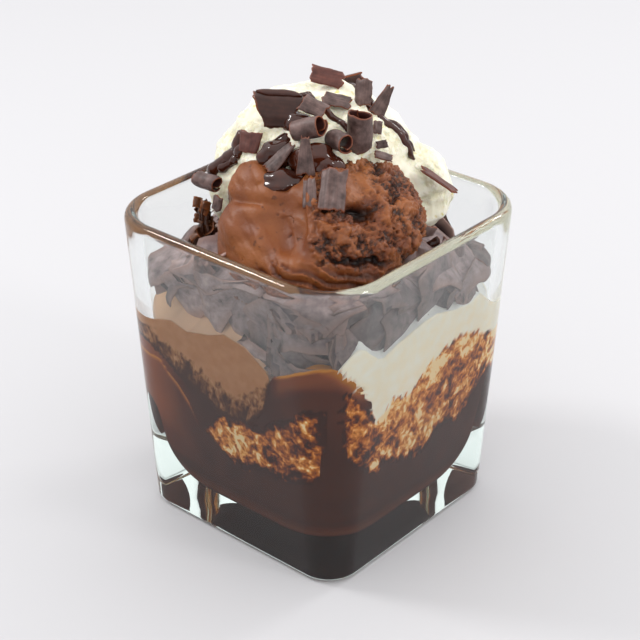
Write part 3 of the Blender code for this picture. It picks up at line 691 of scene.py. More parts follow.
# %% Chocolate ice cream against the wall
def brown_layer(along, z):
    """A clean band, with stained streaks under it down to the lit edge of the sauce."""
    u, v = turned(along, z, CHOCOLATE_LEAN)
    grain = Vector((u / 1.2, v / 0.8, 60.0))
    band = z - read_table(CHOCOLATE_BAND_BOTTOM, along)
    ragged = band + 1.6 * streaks(along, z, CHOCOLATE_LEAN, 1.4, 31.0)
    inside = min(z - read_table(CHOCOLATE_STREAK_BOTTOM, along),
                 z - read_table(LIT_SAUCE_LINE, along) - 0.3)
    inside += 0.8 * streaks(along, z, CHOCOLATE_LEAN, 1.6, 51.0)
    cover = 0.42 + 0.22 * smooth_step(1.0, 6.0, -band)
    cover += 0.7 * (1 - smooth_step(0.0, 1.8, inside))
    shows = band > 0 or inside > -0.3
    reach = FOOD_REACH if shows else -DRAWN_BACK
    # Toward the front corner it leaves the wall altogether.
    reach -= 7.0 * smooth_step(-17.6, -15.5, along)
    return reach, {"cover": cover, "clean": smooth_step(-0.4, 0.6, ragged), "grain": grain,
                   "frost": 0.0}


lower_chocolate = wall_body("pressed_chocolate", CHOCOLATE_BOTTOM,
                            lambda along: read_table(CHOCOLATE_TOP, along), brown_layer,
                            stained_chocolate, crown=8.0)
settle(lower_chocolate, "chocolate_ice_cream", "lower_chocolate")

# %% [markdown]
# ## Scoops
# A scoop is an uneven ball with hollows where the disher slid, lobes that curled over and
# torn parts full of holes.  The main form is the same rule as the solid's: an icosphere
# pushed in and out along its directions.  A voxel remesh joins the lumps into one even
# skin, and a second pass then moves every point by the finer detail of its region.

# %% The serving frame and the helpings
SERVING_TURN = Matrix.Rotation(math.radians(41.0), 4, 'Z')
CHOCOLATE_SCOOP = {
    "centre": (0.7, -10.0, 76.5), "half": (24.7, 24.7, 19.4), "seed": 3.0, "wobble": 2.2,
    "relief": (
        ((-0.38, -0.71, 0.59), 0.45, -2.8), ((-0.67, 0.06, 0.74), 0.30, 2.0),
        ((-0.90, -0.26, 0.34), 0.25, 1.2), ((-0.31, -0.93, 0.21), 0.30, 1.4),
        ((0.75, -0.23, 0.62), 0.35, 1.8), ((0.35, -0.66, 0.67), 0.14, -2.4),
        ((0.94, -0.10, 0.25), 0.30, 1.2), ((0.92, -0.10, -0.35), 0.45, -9.0),
    ),
}
VANILLA_SCOOP = {
    "centre": (-0.7, 10.0, 84.0), "half": (24.8, 24.8, 23.5), "seed": 11.0, "wobble": 2.2,
    "relief": (
        ((-0.55, -0.30, 0.78), 0.30, 1.0), ((0.80, -0.20, 0.55), 0.35, 1.0),
        ((0.30, 0.90, 0.30), 0.40, 1.5), ((-0.70, 0.65, 0.10), 0.35, -1.2),
    ),
}
VANILLA_SKIRT = {"centre": (21.6, 7.2, 82.0), "half": (10.8, 9.0, 11.5), "seed": 17.0,
                 "wobble": 0.8, "relief": ()}
SHAVINGS_COLUMN = {"centre": (-27.4, -3.0, 73.6), "half": (3.4, 3.6, 11.2), "seed": 23.0,
                   "wobble": 1.4, "relief": ()}
SHAVINGS_BED = {
    "centre": (-2.0, -6.0, 65.5), "half": (40.5, 44.0, 12.5), "seed": 29.0, "wobble": 1.6,
    "relief": (
        ((-0.80, 0.25, 0.50), 0.55, -7.0), ((0.10, 0.80, 0.55), 0.65, -10.0),
        ((0.85, 0.35, 0.35), 0.45, -5.0), ((0.05, -0.80, 0.60), 0.40, 2.5),
        ((0.75, -0.30, -0.55), 0.50, -6.0), ((-0.10, 0.75, -0.60), 0.50, 2.0),
        ((-0.75, -0.50, -0.45), 0.45, -7.0),
    ),
}


def surface_point(shape, direction, grow=0.0):
    """The point of a helping's surface in a direction from its centre."""
    ripple = noise.fractal(direction * 1.7 + Vector((shape["seed"], 0, 0)), 1.0, 2.0, 3)
    swell = shape["wobble"] * ripple + grow
    for toward, spread, height in shape["relief"]:
        distance = (direction - Vector(toward).normalized()).length
        swell += height * math.exp(-(distance / spread) ** 2)
    half = Vector(shape["half"]) + Vector((swell, swell, swell))
    return Vector(shape["centre"]) + direction * half


def direction_of(bearing, height):
    bearing, height = math.radians(bearing), math.radians(height)
    return Vector((math.cos(height) * math.cos(bearing),
                   math.cos(height) * math.sin(bearing), math.sin(height)))


def helping_mesh(shapes, voxel, softening):
    """One even mesh, in the serving frame and in millimetres, of several joined helpings."""
    bm = bmesh.new()
    for shape in shapes:
        ball = bmesh.ops.create_icosphere(bm, subdivisions=6, radius=1.0)
        for vert in ball["verts"]:
            vert.co = surface_point(shape, vert.co.normalized())
    mesh = bpy.data.meshes.new("helping")
    bm.to_mesh(mesh)
    bm.free()
    rough = bpy.data.objects.new("helping", mesh)
    scene.collection.objects.link(rough)
    remesh = rough.modifiers.new("Even skin", 'REMESH')
    remesh.mode = 'VOXEL'
    remesh.voxel_size = voxel
    smooth = rough.modifiers.new("Soft joints", 'SMOOTH')
    smooth.iterations = softening
    result = worked_out(rough)
    bpy.data.objects.remove(rough, do_unlink=True)
    return result


def detailed_piece(name, shapes, detail_of, material, voxel=0.5, softening=4):
    """Move a helping's points by detail_of(place, direction), which also gives attributes."""
    mesh = helping_mesh(shapes, voxel, softening)
    centre = Vector(shapes[0]["centre"])
    points, tones, tears = [], [], []
    for vert in mesh.vertices:
        height, tone, tear = detail_of(vert.co, (vert.co - centre).normalized())
        points.append(SERVING_TURN @ (vert.co + vert.normal * height))
        tones.append(tone)
        tears.append(tear)
    faces = [tuple(polygon.vertices) for polygon in mesh.polygons]
    bpy.data.meshes.remove(mesh)
    return make_piece(name, points, faces, material, {"tone": tones, "torn": tears})


# %% [markdown]
# ### The chocolate scoop
# Its left is a smooth hollow that the disher's edge scraped, with a few bubbles.  Its
# right was torn away and is crumbly: ridges of about 2 mm between deep holes that are
# painted dark as shade.
# Lower down the ice cream was pushed over itself into flat folds.


# %% Chocolate scoop
FRONT_RISE, FRONT_RUN = 0.484, 0.875    # sine and cosine of 29 degrees: the front leans back


def crumbs(place, size, seed):
    """Rounded crumbs of a size with sharp creases between them, from 0 to about 1."""
    near, far = noise.voronoi(place / size + Vector((seed, 0, 0)))[0][:2]
    return min((far - near) * 1.6, 1.0)


def chocolate_detail(place, direction):
    across = direction.x
    upward = FRONT_RISE * direction.y + FRONT_RUN * direction.z
    front = smooth_step(-0.45, -0.15, FRONT_RISE * direction.z - FRONT_RUN * direction.y)
    wander = 0.10 * noise.noise(place / 3.5) + 0.04 * noise.noise(place / 1.2)

    def region(x, y, wide, high, power=2):
        """1 in the middle of a patch of the front, fading to 0 at its edge."""
        away = ((across - x) / wide) ** 2 + ((upward - y) / high) ** 2
        return front * math.exp(-away ** (power / 2))

    # Torn right half, without the low fold in front and one smooth patch at its top.
    torn = smooth_step(-0.12, -0.04, across + wander)
    torn = max(torn, 1 - front)
    apron = front * (1 - smooth_step(-0.36, -0.26, upward + wander))
    torn *= (1 - 0.75 * apron) * (1 - 0.85 * region(0.33, 0.54, 0.20, 0.30, 4))
    crumb = 0.5 * crumbs(place, 1.15, 7.0) + 0.35 * crumbs(place, 0.75, 3.0)
    lumps = noise.fractal(place / 3.6, 0.75, 2.1, 4)
    pits = smooth_step(0.16, 0.42, noise.fractal(place / 2.5 + Vector((7, 0, 0)), 0.8, 2.0, 3))
    crumble = 0.75 * crumb + 1.05 * lumps - 0.8 * pits + 0.2
    # The scraped hollow between a tall lobe, a low lobe and a torn edge.
    slant = 0.8 * place.x + 0.6 * place.z
    drag = noise.noise(Vector((slant / 2.2, place.y / 8, (0.8 * place.z - 0.6 * place.x) / 9)))
    swell = noise.noise(place / 7.5 + Vector((0, 0, 4)))
    fine = noise.fractal(Vector((slant / 0.9, place.y / 3, place.z / 3)), 1.0, 2.0, 2)
    soft = 0.35 * drag + 0.8 * swell + 0.12 * fine
    soft -= 3.4 * region(-0.36, 0.17, 0.26, 0.32, 4)
    soft += 1.4 * region(-0.90, 0.12, 0.12, 0.26) + 3.8 * region(-0.68, 0.64, 0.20, 0.20)
    soft -= 1.3 * region(-0.80, 0.38, 0.20, 0.05)
    bubble = smooth_step(0.50, 0.60, noise.noise(place / 1.1 + Vector((0, 5, 0))))
    bubble *= smooth_step(0.0, 0.25, noise.noise(place / 6 + Vector((9, 0, 0))))
    soft -= 0.5 * bubble
    edge_line = abs(across + 0.13 + 0.10 * noise.noise(place / 5))
    soft += front * 1.2 * math.exp(-(edge_line / 0.05) ** 2) * smooth_step(-0.25, 0.0, upward)
    # Flaps that were pushed over one another low in front.
    wave = place.z / 3.6 + 0.11 * place.x + 0.9 * noise.noise(place / 7)
    fold = (wave % 1.0) ** 1.8
    shred = noise.ridged_multi_fractal(Vector((place.x / 1.6, place.y / 3, place.z / 2.4)),
                                       0.9, 2.1, 3, 1.0, 2.0) - 1.1
    flaps = 1.6 * fold - 0.6 + 0.25 * shred * smooth_step(-0.3, 0.1, across)
    height = torn * crumble + (1 - torn) * soft + apron * flaps
    # The deep pit and the long crevice under the torn part.
    pit = math.exp(-((across - 0.39) / 0.13) ** 2 - ((upward - 0.25) / 0.09) ** 2)
    pit *= front * smooth_step(-0.35, 0.1, noise.noise(place / 1.8) + 0.25)
    crack = math.exp(-((upward + 0.24 + 0.6 * wander) / 0.028) ** 2)
    crack *= front * smooth_step(0.02, 0.12, across) * (1 - smooth_step(0.5, 0.65, across))
    height -= 3.2 * pit + 1.8 * crack
    # Painted shade and light in the tone: darker in the crumbs' lows, the bubbles, the pit, the
    # crevice and at the roots of the folds; lighter on the swells and drag lines, the crumbs'
    # crests, the tall lobe and the smooth patch in the torn part.
    shade = torn * smooth_step(0.15, -1.1, crumble) + (1 - torn) * 0.7 * bubble
    tone = 0.64 + 0.12 * swell + 0.08 * drag - 0.03 * torn
    tone += 0.10 * torn * smooth_step(0.3, 1.1, crumble)
    tone -= 0.46 * shade + 0.75 * max(pit, crack)
    tone -= 0.30 * apron * (1 - smooth_step(0.0, 0.3, fold))
    tone += 0.08 * region(-0.68, 0.62, 0.22, 0.22) + 0.10 * region(0.36, 0.55, 0.20, 0.28, 4)
    return height, min(max(tone, 0.0), 1.0), torn * smooth_step(0.25, -0.35, lumps)


chocolate_scoop = detailed_piece("chocolate_ice_cream_scoop", [CHOCOLATE_SCOOP],
                                 chocolate_detail, chocolate_material, voxel=0.38)
settle(chocolate_scoop, "chocolate_ice_cream", "chocolate_scoop")


# %% [markdown]
# ### The vanilla scoop
# It is smoother, with small icy hollows in rows that the disher dragged out, and a lobe
# that was squeezed out on the right.


# %% Vanilla scoop
def vanilla_detail(place, direction):
    rows = noise.noise(Vector((place.x / 7, place.y / 7, place.z / 2.0)))
    lumps = noise.fractal(place / 6.5, 0.9, 2.1, 3)
    icy = smooth_step(0.06, 0.42, noise.fractal(place / 2.0 + Vector((3, 0, 0)), 0.8, 2.0, 2))
    patches = smooth_step(-0.25, 0.25, noise.noise(place / 8 + Vector((0, 2, 0))))
    crumb = crumbs(place, 1.7, 11.0)
    height = 0.40 * rows + 0.85 * lumps - 0.38 * icy * patches + 0.06 * patches * crumb
    # Painted light and shade in the tone: lighter on the rows and lumps, darker in the icy
    # hollows.
    tone = 0.80 + 0.14 * rows + 0.14 * lumps - 0.26 * icy * patches
    return height, min(max(tone, 0.0), 1.0), 0.5 * patches


vanilla_scoop = detailed_piece("vanilla_ice_cream_scoop", [VANILLA_SCOOP, VANILLA_SKIRT],
                               vanilla_detail, vanilla_material, softening=10)
settle(vanilla_scoop, "vanilla_ice_cream", "vanilla_scoop")

# %% [markdown]
# ## Curls
# A blade that is drawn over a block lifts a thin sheet, which rolls up as it comes off.
# The sheet is a grid bent round an axis: `t` runs round the curl and `s` along it.  The
# solid has the same bend.  Here it also gets a thickness that thins toward its edges,
# ribs from nicks in the blade, and ragged ends where it broke.

# %% The curls
def shaving(name, place, along, facing, length, radius, sweep,
            taper=0.0, flare=0.0, ribs=0, look="plain"):
    """A sheet's place, the ways its axis and its face point, its length and radius in
    millimetres, the degrees that it is bent through, and how it is finished."""
    return {"name": name, "place": place, "along": along, "facing": facing, "length": length,
            "radius": radius, "sweep": sweep, "taper": taper, "flare": flare, "ribs": ribs,
            "look": look}


CURLS = (
    shaving("curl_top_shard", (1.9, 9.9, 109.7), (0.97, -0.12, -0.23), (0.0, -0.78, 0.66),
            7.8, 9.0, 28, look="red"),
    shaving("curl_glossy_trough", (-9.3, -3.2, 107.1), (1.0, -0.04, -0.08), (-0.2, -0.75, 0.65),
            9.6, 5.2, 96, flare=-0.7, look="glossy"),
    shaving("curl_bloomed_back", (-1.1, -4.4, 108.1), (0.85, -0.33, -0.35), (-0.1, -0.55, 0.85),
            6.2, 3.2, 80),
    shaving("curl_roll_middle", (-2.6, -9.3, 104.8), (0.85, -0.39, 0.33), (0.0, -0.6, 0.8),
            7.2, 2.2, 330, taper=-0.1),
    shaving("curl_flat_back", (4.2, 2.4, 106.6), (0.95, -0.1, -0.2), (0.1, -0.5, 0.85),
            6.6, 9.0, 27),
    shaving("curl_petal", (10.2, 4.6, 107.9), (0.1, 0.42, 0.9), (-0.3, -0.87, 0.48),
            6.2, 2.6, 90),
    shaving("curl_pointed_shard", (14.9, 5.0, 105.8), (0.45, 0.35, 0.82), (0.5, -0.8, 0.21),
            7.6, 7.0, 33, taper=0.7),
    shaving("curl_tall_tube", (9.2, -6.2, 102.6), (0.0, -0.05, 1.0), (-0.2, -1.0, 0.0),
            8.6, 2.7, 335, flare=-0.3),
    shaving("curl_small_roll", (4.7, -10.4, 102.1), (0.55, -0.83, 0.06), (0.2, 0.1, 1.0),
            5.6, 1.9, 330),
    shaving("curl_wedge_left", (-8.9, -11.6, 98.5), (0.69, 0.35, 0.63), (-0.3, -0.74, 0.52),
            8.2, 3.6, 60, taper=0.5),
    shaving("curl_wedge_right", (-3.2, -14.6, 100.0), (0.0, 0.4, 0.92), (0.1, -0.87, 0.48),
            8.6, 4.5, 58, taper=0.65),
    shaving("curl_dark_left", (-8.6, -7.4, 100.4), (0.8, 0.24, 0.44), (-0.3, -0.7, 0.6),
            4.0, 3.0, 70, look="glossy"),
    shaving("curl_ribbed_front", (3.0, -22.8, 95.5), (0.1, 0.72, 0.69), (0.0, -0.72, 0.69),
            10.0, 4.2, 78, ribs=3),
    shaving("curl_ribbed_back", (-2.2, -21.4, 93.9), (0.0, 0.72, 0.69), (-0.4, -0.65, 0.62),
            7.0, 3.4, 60, taper=0.2, ribs=2),
    shaving("curl_left_shard", (-16.2, -4.2, 98.9), (0.2, 0.48, 0.88), (-0.2, -0.85, 0.5),
            4.8, 6.0, 40, taper=-0.3, look="red"),
    shaving("curl_left_roll", (-26.2, -2.4, 88.4), (0.8, -0.58, -0.02), (-0.2, 0.2, 1.0),
            6.0, 1.6, 320),
    shaving("curl_left_chip", (-24.0, -6.4, 84.5), (0.2, 0.1, 0.95), (-0.6, -0.8, 0.1),
            3.6, 2.0, 75),
    shaving("curl_right_shard", (28.1, -1.8, 88.0), (0.82, -0.28, -0.5), (0.3, -0.32, 0.87),
            9.6, 10.0, 17, look="red"),
    shaving("curl_chip_upper", (13.5, -2.6, 102.0), (0.1, 0.5, 0.86), (0.5, -0.7, 0.5),
            3.0, 3.0, 38),
    shaving("curl_chip_middle", (14.6, -5.0, 98.8), (0.9, 0.2, 0.1), (0.5, -0.7, 0.6),
            2.8, 2.5, 40),
    shaving("curl_chip_lower", (14.8, -8.0, 97.1), (1.0, 0.0, -0.3), (0.3, -0.4, 0.8),
            4.2, 4.0, 34),
    shaving("curl_low_right", (25.0, -2.4, 74.2), (0.5, 0.3, 0.8), (0.5, -0.85, 0.1),
            5.4, 5.0, 56),
    shaving("curl_low_stick", (27.0, -6.4, 73.6), (0.9, 0.2, 0.45), (0.0, -0.8, 0.5),
            4.0, 1.2, 120, look="glossy"),
    shaving("curl_inner_right_arch", (37.0, 1.6, 65.2), (0.3, 0.9, 0.1), (0.1, -0.1, 1.0),
            5.0, 2.8, 200),
    shaving("curl_inner_right", (31.0, -5.0, 70.0), (0.3, 0.4, 0.85), (0.4, -0.9, 0.2),
            7.4, 4.0, 75),
    shaving("curl_back", (6.7, 33.0, 99.5), (0.9, 0.1, 0.2), (0.1, 0.75, 0.66),
            9.0, 5.0, 75),
)
CURL_THICKNESS, ROLL_THICKNESS, FLAKE_THICKNESS = 0.8, 0.5, 0.5
RIB_HEIGHT, SCRAPE_DEPTH = 0.13, 0.04
SPIRAL = (1.0, 0.12)         # a sheet's radius where it starts, and how much it opens
ROLL_SPIRAL = (0.78, 0.45)   # a roll starts tighter, so that its outer turn clears it
ROLL_OVERLAP = 1.17          # and runs on past a full turn


def is_roll(curl):
    return curl["sweep"] > 180


def sheet_point(curl, t, s, out):
    """A point of the bent sheet, out from its middle surface, before it is placed."""
    rolled = is_roll(curl)
    seed = curl["place"][0] * 1.7 + curl["place"][2]
    torn_end = noise.fractal(Vector((t * 2.6, seed, 1 if s > 0 else 5)), 1.1, 2.2, 3)
    torn_side = noise.fractal(Vector((s * 2.6, seed, 9 if t > 0 else 13)), 1.1, 2.2, 3)
    width = (1 - curl["taper"] * (s + 0.5)) * (1 + 0.12 * torn_side * abs(2 * t) ** 2)
    angle = math.radians(curl["sweep"]) * (t * width + (ROLL_OVERLAP - 1) * (t + 0.5) * rolled)
    opening = ROLL_SPIRAL if rolled else SPIRAL
    radius = curl["radius"] * (opening[0] + opening[1] * (t + 0.5)) + out
    radius += 0.25 * noise.noise(Vector((t * 2.5, s * 2.5, seed)))
    height = s * curl["length"] * (1 + curl["flare"] * t)
    height *= 1 + 0.24 * torn_end * abs(2 * s) ** 2
    middle = 0.0 if rolled else curl["radius"]
    return Vector((radius * math.cos(angle) - middle, radius * math.sin(angle), height))


def curl_placement(curl):
    axis = Vector(curl["along"]).normalized()
    facing = Vector(curl["facing"])
    facing = (facing - axis * facing.dot(axis)).normalized()
    turn = Matrix((facing, axis.cross(facing), axis)).transposed().to_4x4()
    return SERVING_TURN @ Matrix.Translation(Vector(curl["place"])) @ turn


def curl_sheet(curl, around, down, thickness):
    """Points, faces and attributes of a closed sheet with an outer and an inner skin."""
    points, inside, edge, shade, faces = [], [], [], [], []
    columns = down + 1
    for skin in (1, -1):
        for i in range(around + 1):
            for j in range(columns):
                t, s = i / around - 0.5, j / down - 0.5
                rim = max(abs(2 * t), abs(2 * s))
                ribs = RIB_HEIGHT * math.cos(2 * math.pi * (t + 0.5) * curl["ribs"])
                ribs *= curl["ribs"] > 0
                scrape = SCRAPE_DEPTH * noise.noise(Vector((t * 9, s * 1.5, curl["place"][0])))
                half = thickness / 2 * (1 - 0.6 * rim ** 8) + (ribs + scrape) * (skin > 0)
                points.append(sheet_point(curl, t, s, skin * half))
                inside.append(0.0 if skin > 0 else 0.9)
                edge.append(0.8 * smooth_step(0.94, 1.0, rim))
                line = noise.noise(Vector((t * 16, s * 1.3, curl["place"][0] + 5)))
                shade.append(1.0 + 0.35 * line)
    sheet = (around + 1) * columns
    for i in range(around):
        for j in range(down):
            a = i * columns + j
            faces.append((a, a + columns, a + columns + 1, a + 1))
            faces.append((sheet + a, sheet + a + 1, sheet + a + columns + 1, sheet + a + columns))
    rim = [i * columns for i in range(around + 1)]
    rim += [around * columns + j for j in range(1, columns)]
    rim += [i * columns + down for i in range(around - 1, -1, -1)]
    rim += [j for j in range(down - 1, 0, -1)]
    for a, b in zip(rim, rim[1:] + rim[:1]):
        faces.append((a, b, sheet + b, sheet + a))
    return points, faces, {"inside": inside, "edge": edge, "shade": shade}


ROLL_GRID, SHARD_GRID = (72, 22), (30, 22)         # faces around the curl and along it
for curl in CURLS:
    grid, thickness = ((ROLL_GRID, ROLL_THICKNESS) if is_roll(curl)
                       else (SHARD_GRID, CURL_THICKNESS))
    points, faces, attributes = curl_sheet(curl, *grid, thickness)
    placement = curl_placement(curl)
    piece = make_piece(curl["name"] + "_shaving", [placement @ p for p in points], faces,
                       shaving_materials[curl["look"]], attributes)
    settle(piece, "dark_chocolate", curl["name"])

# %% [markdown]
# ## Heaps of shavings
# Under the scoops lie more shavings than anyone would place by hand.  Geometry Nodes
# scatters copies of a few flakes over a core that has the heap's form: it picks points at
# least one spacing apart, turns each copy flat to the core and then tips it at random.
# The copies are made real, because the export keeps only real meshes.

# %% Flakes to scatter
flakes = bpy.data.collections.new("flakes")
FLAKE_SIZES = ((8.0, 7.5, 55), (6.5, 4.5, 85), (9.0, 12.0, 34), (5.0, 9.0, 40), (7.0, 3.2, 140))
FLAKE_GRID = (8, 5)                    # coarse, because each flake is repeated so often
for number, size in enumerate(FLAKE_SIZES):
    flake = shaving("flake_%d" % number, (number, 0, 0), (0, 0, 1), (1, 0, 0), *size)
    points, faces, attributes = curl_sheet(flake, *FLAKE_GRID, FLAKE_THICKNESS)
    del attributes["shade"]            # each copy gets one of its own from the tree
    lying = [Vector((p.y, p.z, p.x)) for p in points]
    piece = make_piece(flake["name"], lying, faces, shaving_materials["soaked"], attributes)
    scene.collection.objects.unlink(piece)
    flakes.objects.link(piece)


MOST_FLAKES = 4.0e5                    # per square metre, before the spacing thins them
PALENESS = (0.5, 1.25)                 # the darkest and the palest flake, as a factor


def scatter_tree(name):
    """Scatter a collection's objects over a mesh, and keep the mesh as their core."""
    tree = bpy.data.node_groups.new(name, 'GeometryNodeTree')
    sockets = tree.interface
    sockets.new_socket("Geometry", in_out='INPUT', socket_type='NodeSocketGeometry')
    for label, kind in (("Flakes", 'Collection'), ("Spacing", 'Float'), ("Smallest", 'Float'),
                        ("Largest", 'Float'), ("Tilt", 'Float'), ("Seed", 'Int'),
                        ("Material", 'Material')):
        sockets.new_socket(label, in_out='INPUT', socket_type='NodeSocket' + kind)
    sockets.new_socket("Geometry", in_out='OUTPUT', socket_type='NodeSocketGeometry')
    given = add_node(tree, 'NodeGroupInput').outputs
    growth = add_node(tree, 'GeometryNodeInputNamedAttribute', {"data_type": 'FLOAT'},
                      {"Name": "growth"})
    spots = add_node(
        tree, 'GeometryNodeDistributePointsOnFaces', {"distribute_method": 'POISSON'},
        {"Mesh": given["Geometry"], "Distance Min": given["Spacing"], "Seed": given["Seed"],
         "Density Max": MOST_FLAKES, "Density Factor": growth.outputs[0]})
    copies = add_node(tree, 'GeometryNodeCollectionInfo', inputs={
        "Collection": given["Flakes"], "Separate Children": True, "Reset Children": True})
    size = add_node(tree, 'FunctionNodeRandomValue', {"data_type": 'FLOAT'},
                    {2: given["Smallest"], 3: given["Largest"], "Seed": given["Seed"]})
    back = add_node(tree, 'ShaderNodeMath', {"operation": 'MULTIPLY'},
                    {0: given["Tilt"], 1: -1.0}).outputs[0]
    low = add_node(tree, 'ShaderNodeCombineXYZ', inputs={"X": back, "Y": back, "Z": -math.pi})
    high = add_node(tree, 'ShaderNodeCombineXYZ',
                    inputs={"X": given["Tilt"], "Y": given["Tilt"], "Z": math.pi})
    turn = add_node(tree, 'FunctionNodeRandomValue', {"data_type": 'FLOAT_VECTOR'},
                    {0: low.outputs[0], 1: high.outputs[0], "Seed": given["Seed"]})
    angles = add_node(tree, 'FunctionNodeEulerToRotation', inputs={0: turn.outputs[0]})
    pose = add_node(tree, 'FunctionNodeRotateRotation', {"rotation_space": 'LOCAL'},
                    {0: spots.outputs["Rotation"], 1: angles.outputs[0]})
    placed = add_node(tree, 'GeometryNodeInstanceOnPoints', inputs={
        "Points": spots.outputs["Points"], "Instance": copies.outputs[0],
        "Pick Instance": True, "Rotation": pose.outputs[0], "Scale": size.outputs[1]})
    paleness = add_node(tree, 'FunctionNodeRandomValue', {"data_type": 'FLOAT'},
                        {2: PALENESS[0], 3: PALENESS[1], "Seed": given["Seed"]})
    shaded = add_node(tree, 'GeometryNodeStoreNamedAttribute',
                      {"data_type": 'FLOAT', "domain": 'INSTANCE'},
                      {"Geometry": placed.outputs[0], "Name": "shade",
                       "Value": paleness.outputs[1]})
    real = add_node(tree, 'GeometryNodeRealizeInstances',
                    inputs={"Geometry": shaded.outputs[0]})
    joined = add_node(tree, 'GeometryNodeJoinGeometry', inputs={0: real.outputs[0]})
    fill_inputs(tree, joined, {0: given["Geometry"]})
    painted = add_node(tree, 'GeometryNodeSetMaterial', inputs={
        "Geometry": joined.outputs[0], "Material": given["Material"]})
    add_node(tree, 'NodeGroupOutput', inputs={0: painted.outputs[0]})
    return tree


SCATTER = scatter_tree("scatter_shavings")


def scatter(core, settings):
    """Run the tree on a core and keep its result as the core's own plain mesh."""
    modifier = core.modifiers.new("Shavings", 'NODES')
    modifier.node_group = SCATTER
    for item in SCATTER.interface.items_tree:
        if item.item_type == 'SOCKET' and item.in_out == 'INPUT' and item.name in settings:
            modifier[item.identifier] = settings[item.name]
    mesh = worked_out(core)
    core.modifiers.clear()
    core.data = mesh
    core.data.shade_smooth()


FRONT_DISTANCE = 22.0      # this far toward the front corner, under the scoop, the heap
FRONT_LIMIT = 74.5         # stays below about this height, and so below the rim
CORE_ROOM = 3.2            # how far a heap's core stays off the wall


def toward_front(x, y):
    """The distance from the middle toward the glass's front corner."""
    return (x - y) / math.sqrt(2)


def keep_inside_glass(piece, room):
    """Flatten what sticks out against the wall or the scoop, as they would."""
    for vert in piece.data.vertices:
        x, y, z = vert.co / MM
        if toward_front(x, y) > FRONT_DISTANCE:
            z = min(z, FRONT_LIMIT + 0.2 * (z - FRONT_LIMIT))
        vert.co = Vector(to_cavity(x, y, z, room)) * MM


def growth_at(point):
    """Where flakes lie: not on top at the front corner, nor low down on the left."""
    x, y, z = point
    under_scoop = smooth_step(8, 14, toward_front(x, y)) * smooth_step(74, 76, z)
    low_left = smooth_step(16, 22, -x - y) * (1 - smooth_step(61, 66, z))
    return 1 - max(under_scoop, low_left * (1 - smooth_step(50, 56, -x - y)))


def core_piece(name, shape, shrink, material):
    """The plain core of a heap, a little smaller than the heap itself."""
    ball = bmesh.new()
    bmesh.ops.create_icosphere(ball, subdivisions=5, radius=1.0)
    ball.verts.ensure_lookup_table()
    points = [SERVING_TURN @ surface_point(shape, v.co.normalized(), -shrink) for v in ball.verts]
    faces = [tuple(v.index for v in face.verts) for face in ball.faces]
    ball.free()
    points = [to_cavity(*point, CORE_ROOM) for point in points]
    # The core is darker, with `inside` and `shade` at 0.6: painted shade in the gaps between the
    # flakes.
    attributes = {"inside": [0.6] * len(points), "edge": [0.0] * len(points),
                  "shade": [0.6] * len(points), "growth": [growth_at(point) for point in points]}
    return make_piece(name, points, faces, material, attributes)


# Painted light and shade on the heap along the wall, from the left over the front corner to the
# right: paler at the sides, darker at the front corner.
PAINTED_LIGHT_ALONG_WALL = ((-60, 1.1), (-38, 1.6), (-24, 1.4), (-8, 0.9), (10, 0.85), (24, 1.15), (45, 1.3),
         (60, 1.1))


# Multiplies the heap's colour by the table: painted light and shade.
def paint_light_along_wall(piece):
    shade = piece.data.attributes["shade"].data
    for vert, value in zip(piece.data.vertices, shade):
        value.value *= read_table(PAINTED_LIGHT_ALONG_WALL, (vert.co.x + vert.co.y) / MM)


# %% The bed of shavings under the scoops
bed = core_piece("bed_of_shavings", SHAVINGS_BED, 1.5, shaving_materials["bed"])
scatter(bed, {"Flakes": flakes, "Spacing": 5.4 * MM, "Smallest": 1.4, "Largest": 2.6,
              "Tilt": 0.36, "Seed": 4, "Material": shaving_materials["bed"]})
keep_inside_glass(bed, 0.35)
paint_light_along_wall(bed)
settle(bed, "dark_chocolate", "shavings_bed")

# %% The sauce-soaked stack on the left
column = core_piece("stack_of_soaked_shavings", SHAVINGS_COLUMN, 1.6,
                    shaving_materials["soaked"])
scatter(column, {"Flakes": flakes, "Spacing": 0.9 * MM, "Smallest": 0.14, "Largest": 0.42,
                 "Tilt": 1.1, "Seed": 8, "Material": shaving_materials["soaked"]})
settle(column, "dark_chocolate", "shavings_column")

# %% [markdown]
# ## Sauce over the scoops
# Poured sauce runs down in threads that sink slightly into the ice cream.  Each thread is a
# curve through points found by looking from the scoop's centre outward to its skin, so it
# follows every lump.  The curve gives the tube, and the tube is then kept as a mesh.


# %% Threads of sauce
def skin_of(piece):
    mesh = piece.data
    return BVHTree.FromPolygons([v.co / MM for v in mesh.vertices],
                                [tuple(p.vertices) for p in mesh.polygons])


def on_skin(tree, shape, direction):
    """The point of a skin in a direction from the helping's centre, in the serving frame."""
    centre = SERVING_TURN @ Vector(shape["centre"])
    toward = (SERVING_TURN.to_3x3() @ direction).normalized()
    hit = tree.ray_cast(centre + toward * 60, -toward)
    return hit[0] if hit[0] else centre + toward * 24


def sauce_thread(places, radius):
    """A thread of uneven thickness through places in millimetres, as a closed mesh."""
    curve = bpy.data.curves.new("thread", 'CURVE')
    curve.dimensions = '3D'
    curve.bevel_depth = radius * MM
    curve.bevel_resolution = 4
    curve.use_fill_caps = True
    spline = curve.splines.new('NURBS')
    spline.points.add(len(places) - 1)
    spline.use_endpoint_u = True
    for k, (point, place) in enumerate(zip(spline.points, places)):
        point.co = (*(place * MM), 1.0)
        swell = 1 + 0.45 * noise.noise(Vector((k * 0.45, radius * 7, 0)))
        point.radius = swell * smooth_step(-1, 2, min(k, len(places) - 1 - k))
    tube = bpy.data.objects.new("thread", curve)
    scene.collection.objects.link(tube)
    mesh = worked_out(tube)
    bpy.data.objects.remove(tube, do_unlink=True)
    return mesh


